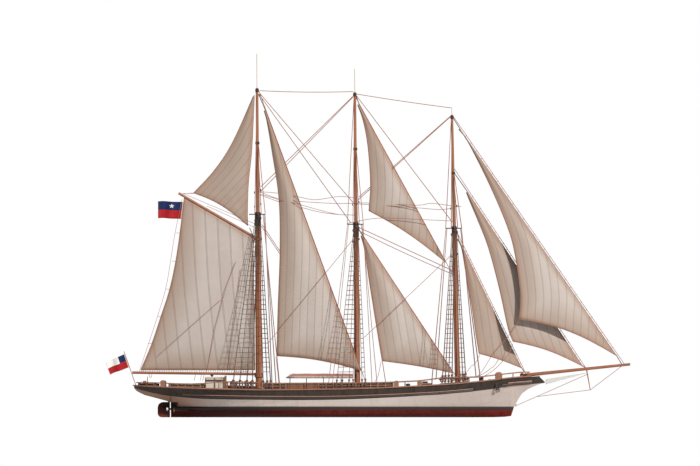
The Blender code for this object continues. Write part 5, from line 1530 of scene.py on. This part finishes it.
# %% [markdown]
# ## Houses and deck gear
#
# The white deckhouse is panelled, with a dark sheer line, brown corner posts and a mushroom vent on
# its roof. The saloon house has upright battens and the hatch has level ones. Almost everything is
# a bevelled cube, set on the solid houses of the frame.

# %% Boxes with softened edges
def block(x_range, y_range, z_range, soften=0.02):
    """A bevelled box between two values on each axis, in real metres."""
    deselect()
    middle = [(a + b) / 2 for a, b in (x_range, y_range, z_range)]
    bpy.ops.mesh.primitive_cube_add(size=1.0, location=at(*middle))
    obj = bpy.context.object
    obj.scale = [abs(b - a) * SCALE for a, b in (x_range, y_range, z_range)]
    bpy.ops.object.transform_apply(location=True, rotation=True, scale=True)
    bevel_all(obj, soften)
    deselect()
    return obj


def dome(radius, x, y, z):
    """A flattened ball round a middle point, in real metres."""
    deselect()
    bpy.ops.mesh.primitive_uv_sphere_add(segments=14, ring_count=8, radius=radius * SCALE,
                                         location=at(x, y, z))
    bpy.context.object.scale.z = 0.55
    return bpy.context.object


print("box and dome helpers ready")

# %% Deckhouse trim
white_bits, brown_bits, dark_bits = [], [], []
for side in (-1, 1):
    face = side * 1.30
    out = sorted((face, face + side * 0.03))
    dark_bits.append(block((-13.36, -11.44), out, (2.70, 2.77), 0.008))
    for x in (-13.36, -12.44, -11.52):
        brown_bits.append(block((x - 0.035, x + 0.035), out, (1.55, 2.98), 0.008))
    for x in (-12.9, -11.98):
        white_bits.append(block((x - 0.38, x + 0.38), out, (1.75, 2.62), 0.012))
        white_bits.append(block((x - 0.38, x + 0.38), out, (2.82, 2.96), 0.012))
    brown_bits.append(block((-11.42, -11.26), sorted((side * 1.2, side * 1.34)), (1.6, 3.24), 0.02))
for x in (-13.36, -11.44):
    out = (x - 0.03, x + 0.03)
    brown_bits.append(block(out, (-1.28, -1.18), (1.5, 2.98), 0.008))
    brown_bits.append(block(out, (1.18, 1.28), (1.5, 2.98), 0.008))
    brown_bits.append(block(out, (-0.34, 0.34), (1.45, 2.85), 0.01))
    dark_bits.append(block((x - 0.045, x + 0.045), (-0.2, 0.2), (2.2, 2.7), 0.01))
brown_bits.append(block((-11.48, -11.30), (-1.36, 1.36), (3.02, 3.10), 0.01))
dark_bits.append(dome(0.16, -12.7, -0.3, 3.26))
dark_bits.append(block((-12.78, -12.62), (-0.38, -0.22), (3.10, 3.22), 0.02))
finish_piece(join(white_bits), "deckhouse_panels", white_paint, "ship")
finish_piece(join(brown_bits), "deckhouse_frame", teak, "ship")
finish_piece(join(dark_bits), "deckhouse_dark", black_iron, "ship")
print("deckhouse trim:", len(white_bits + brown_bits + dark_bits), "blocks")

# %% Battens on the saloon house and the hatch
battens = []
for x in np.arange(-5.40, -2.15, 0.17):
    for side in (-1, 1):
        flank = sorted((side * 1.24, side * 1.29))
        battens.append(block((x, x + 0.09), flank, (1.40, 2.38), 0.008))
for y in np.arange(-1.15, 1.1, 0.17):
    for x in (-5.49, -2.11):
        battens.append(block((x, x + 0.05), (y, y + 0.09), (1.40, 2.38), 0.008))
for x in np.arange(-5.3, -2.2, 0.62):
    battens.append(block((x, x + 0.06), (-1.30, 1.30), (2.495, 2.53), 0.008))
for x in np.arange(7.9, 9.2, 0.16):
    battens.append(block((x, x + 0.12), (-0.72, 0.72), (2.455, 2.50), 0.01))
finish_piece(join(battens), "battens", teak, "ship")
print("battens:", len(battens))

# %% Deck gear: ventilators and the skylight on the hatch
gear = []
for x, y, tall in ((-15.6, -1.1, 0.55), (-15.6, 1.1, 0.55), (-0.9, 2.2, 0.5), (6.9, -1.3, 0.6),
                   (6.9, 1.3, 0.6), (15.1, -0.9, 0.4), (15.1, 0.9, 0.4)):
    deck = sheer(x) - 0.45
    stem = upright_cylinder(14, 0.16, tall + 0.1, x, y, deck + tall / 2)
    bevel_all(stem, 0.03, 2)
    gear += [stem, dome(0.24, x, y, deck + tall + 0.08)]
gear.append(block((8.32, 8.88), (-0.3, 0.3), (2.49, 2.66), 0.03))
finish_piece(join(gear), "ventilators", black_iron, "ship")
print("deck gear done")

# %% Mast bands, pole heads and blocks
bands, poles = [], []
# columns: mast, band z, masthead z, radius at the head, pole tip
for name, band, head, radius, tip in (("mizzen", 26.5, 31.98, 0.13, 35.4),
                                      ("main", 25.9, 31.56, 0.13, 33.9),
                                      ("fore", 23.5, 29.30, 0.12, 30.1)):
    for z, tall, girth in ((band, 0.26, radius + 0.085), (head - 0.22, 0.34, radius + 0.05)):
        bands.append(upright_cylinder(20, girth, tall, mast_x(name, z), 0, z))
        bevel_all(bands[-1], 0.02)
    poles.append([(mast_x(name, head), 0, head - 0.05), (mast_x(name, tip), 0, tip - 0.03)])
finish_piece(join(bands), "mast_bands", black_iron, "ship")
lay_lines("pole_heads", poles, 0.055, white_paint)
deselect()
bpy.ops.mesh.primitive_uv_sphere_add(segments=10, ring_count=6, radius=0.12 * SCALE)
pulley = bpy.context.object
pulley.scale = (0.6, 0.45, 1.0)
bpy.ops.object.transform_apply(location=False, rotation=False, scale=True)
spots = []
for name, heights in (("mizzen", (19.0, 21.8, 20.4)), ("main", (18.0, 20.6, 16.9)),
                      ("fore", (17.6, 20.2, 15.4))):
    for z in heights:
        spots += [(mast_x(name, z) + 0.3, side * 0.38, z) for side in (-1, 1)]
        spots += [(mast_x(name, z) - 0.3, side * 0.38, z - 0.25) for side in (-1, 1)]
pulleys = copy_to(pulley, spots)
drop(pulley)
finish_piece(join(pulleys), "mast_blocks", served, "ship")
sheets = [[(14.05, -1.15, 5.3), (13.2, -1.9, 4.2), (11.9, -2.6, 3.15), 0.25],
          [(17.35, -1.65, 6.4), (16.6, -2.0, 5.0), (14.6, -2.3, 3.25), 0.2],
          [(16.0, -1.2, 5.05), (15.2, -1.9, 4.0), (13.3, -2.3, 3.1), 0.2],
          [(4.2, -1.1, 4.6), (3.9, -2.2, 3.2), (3.5, -3.5, 2.5), 0.05],
          [(-6.3, -0.8, 5.1), (-6.1, -1.9, 3.5), (-6.0, -3.4, 2.5), 0.05],
          [(18.0, -2.1, 8.7), (15.2, -2.3, 5.2), (13.8, -2.2, 3.1), 0.15]]
lay_lines("sail_sheets", sheets, 0.026, manila)
print("bands, blocks and sheets done")
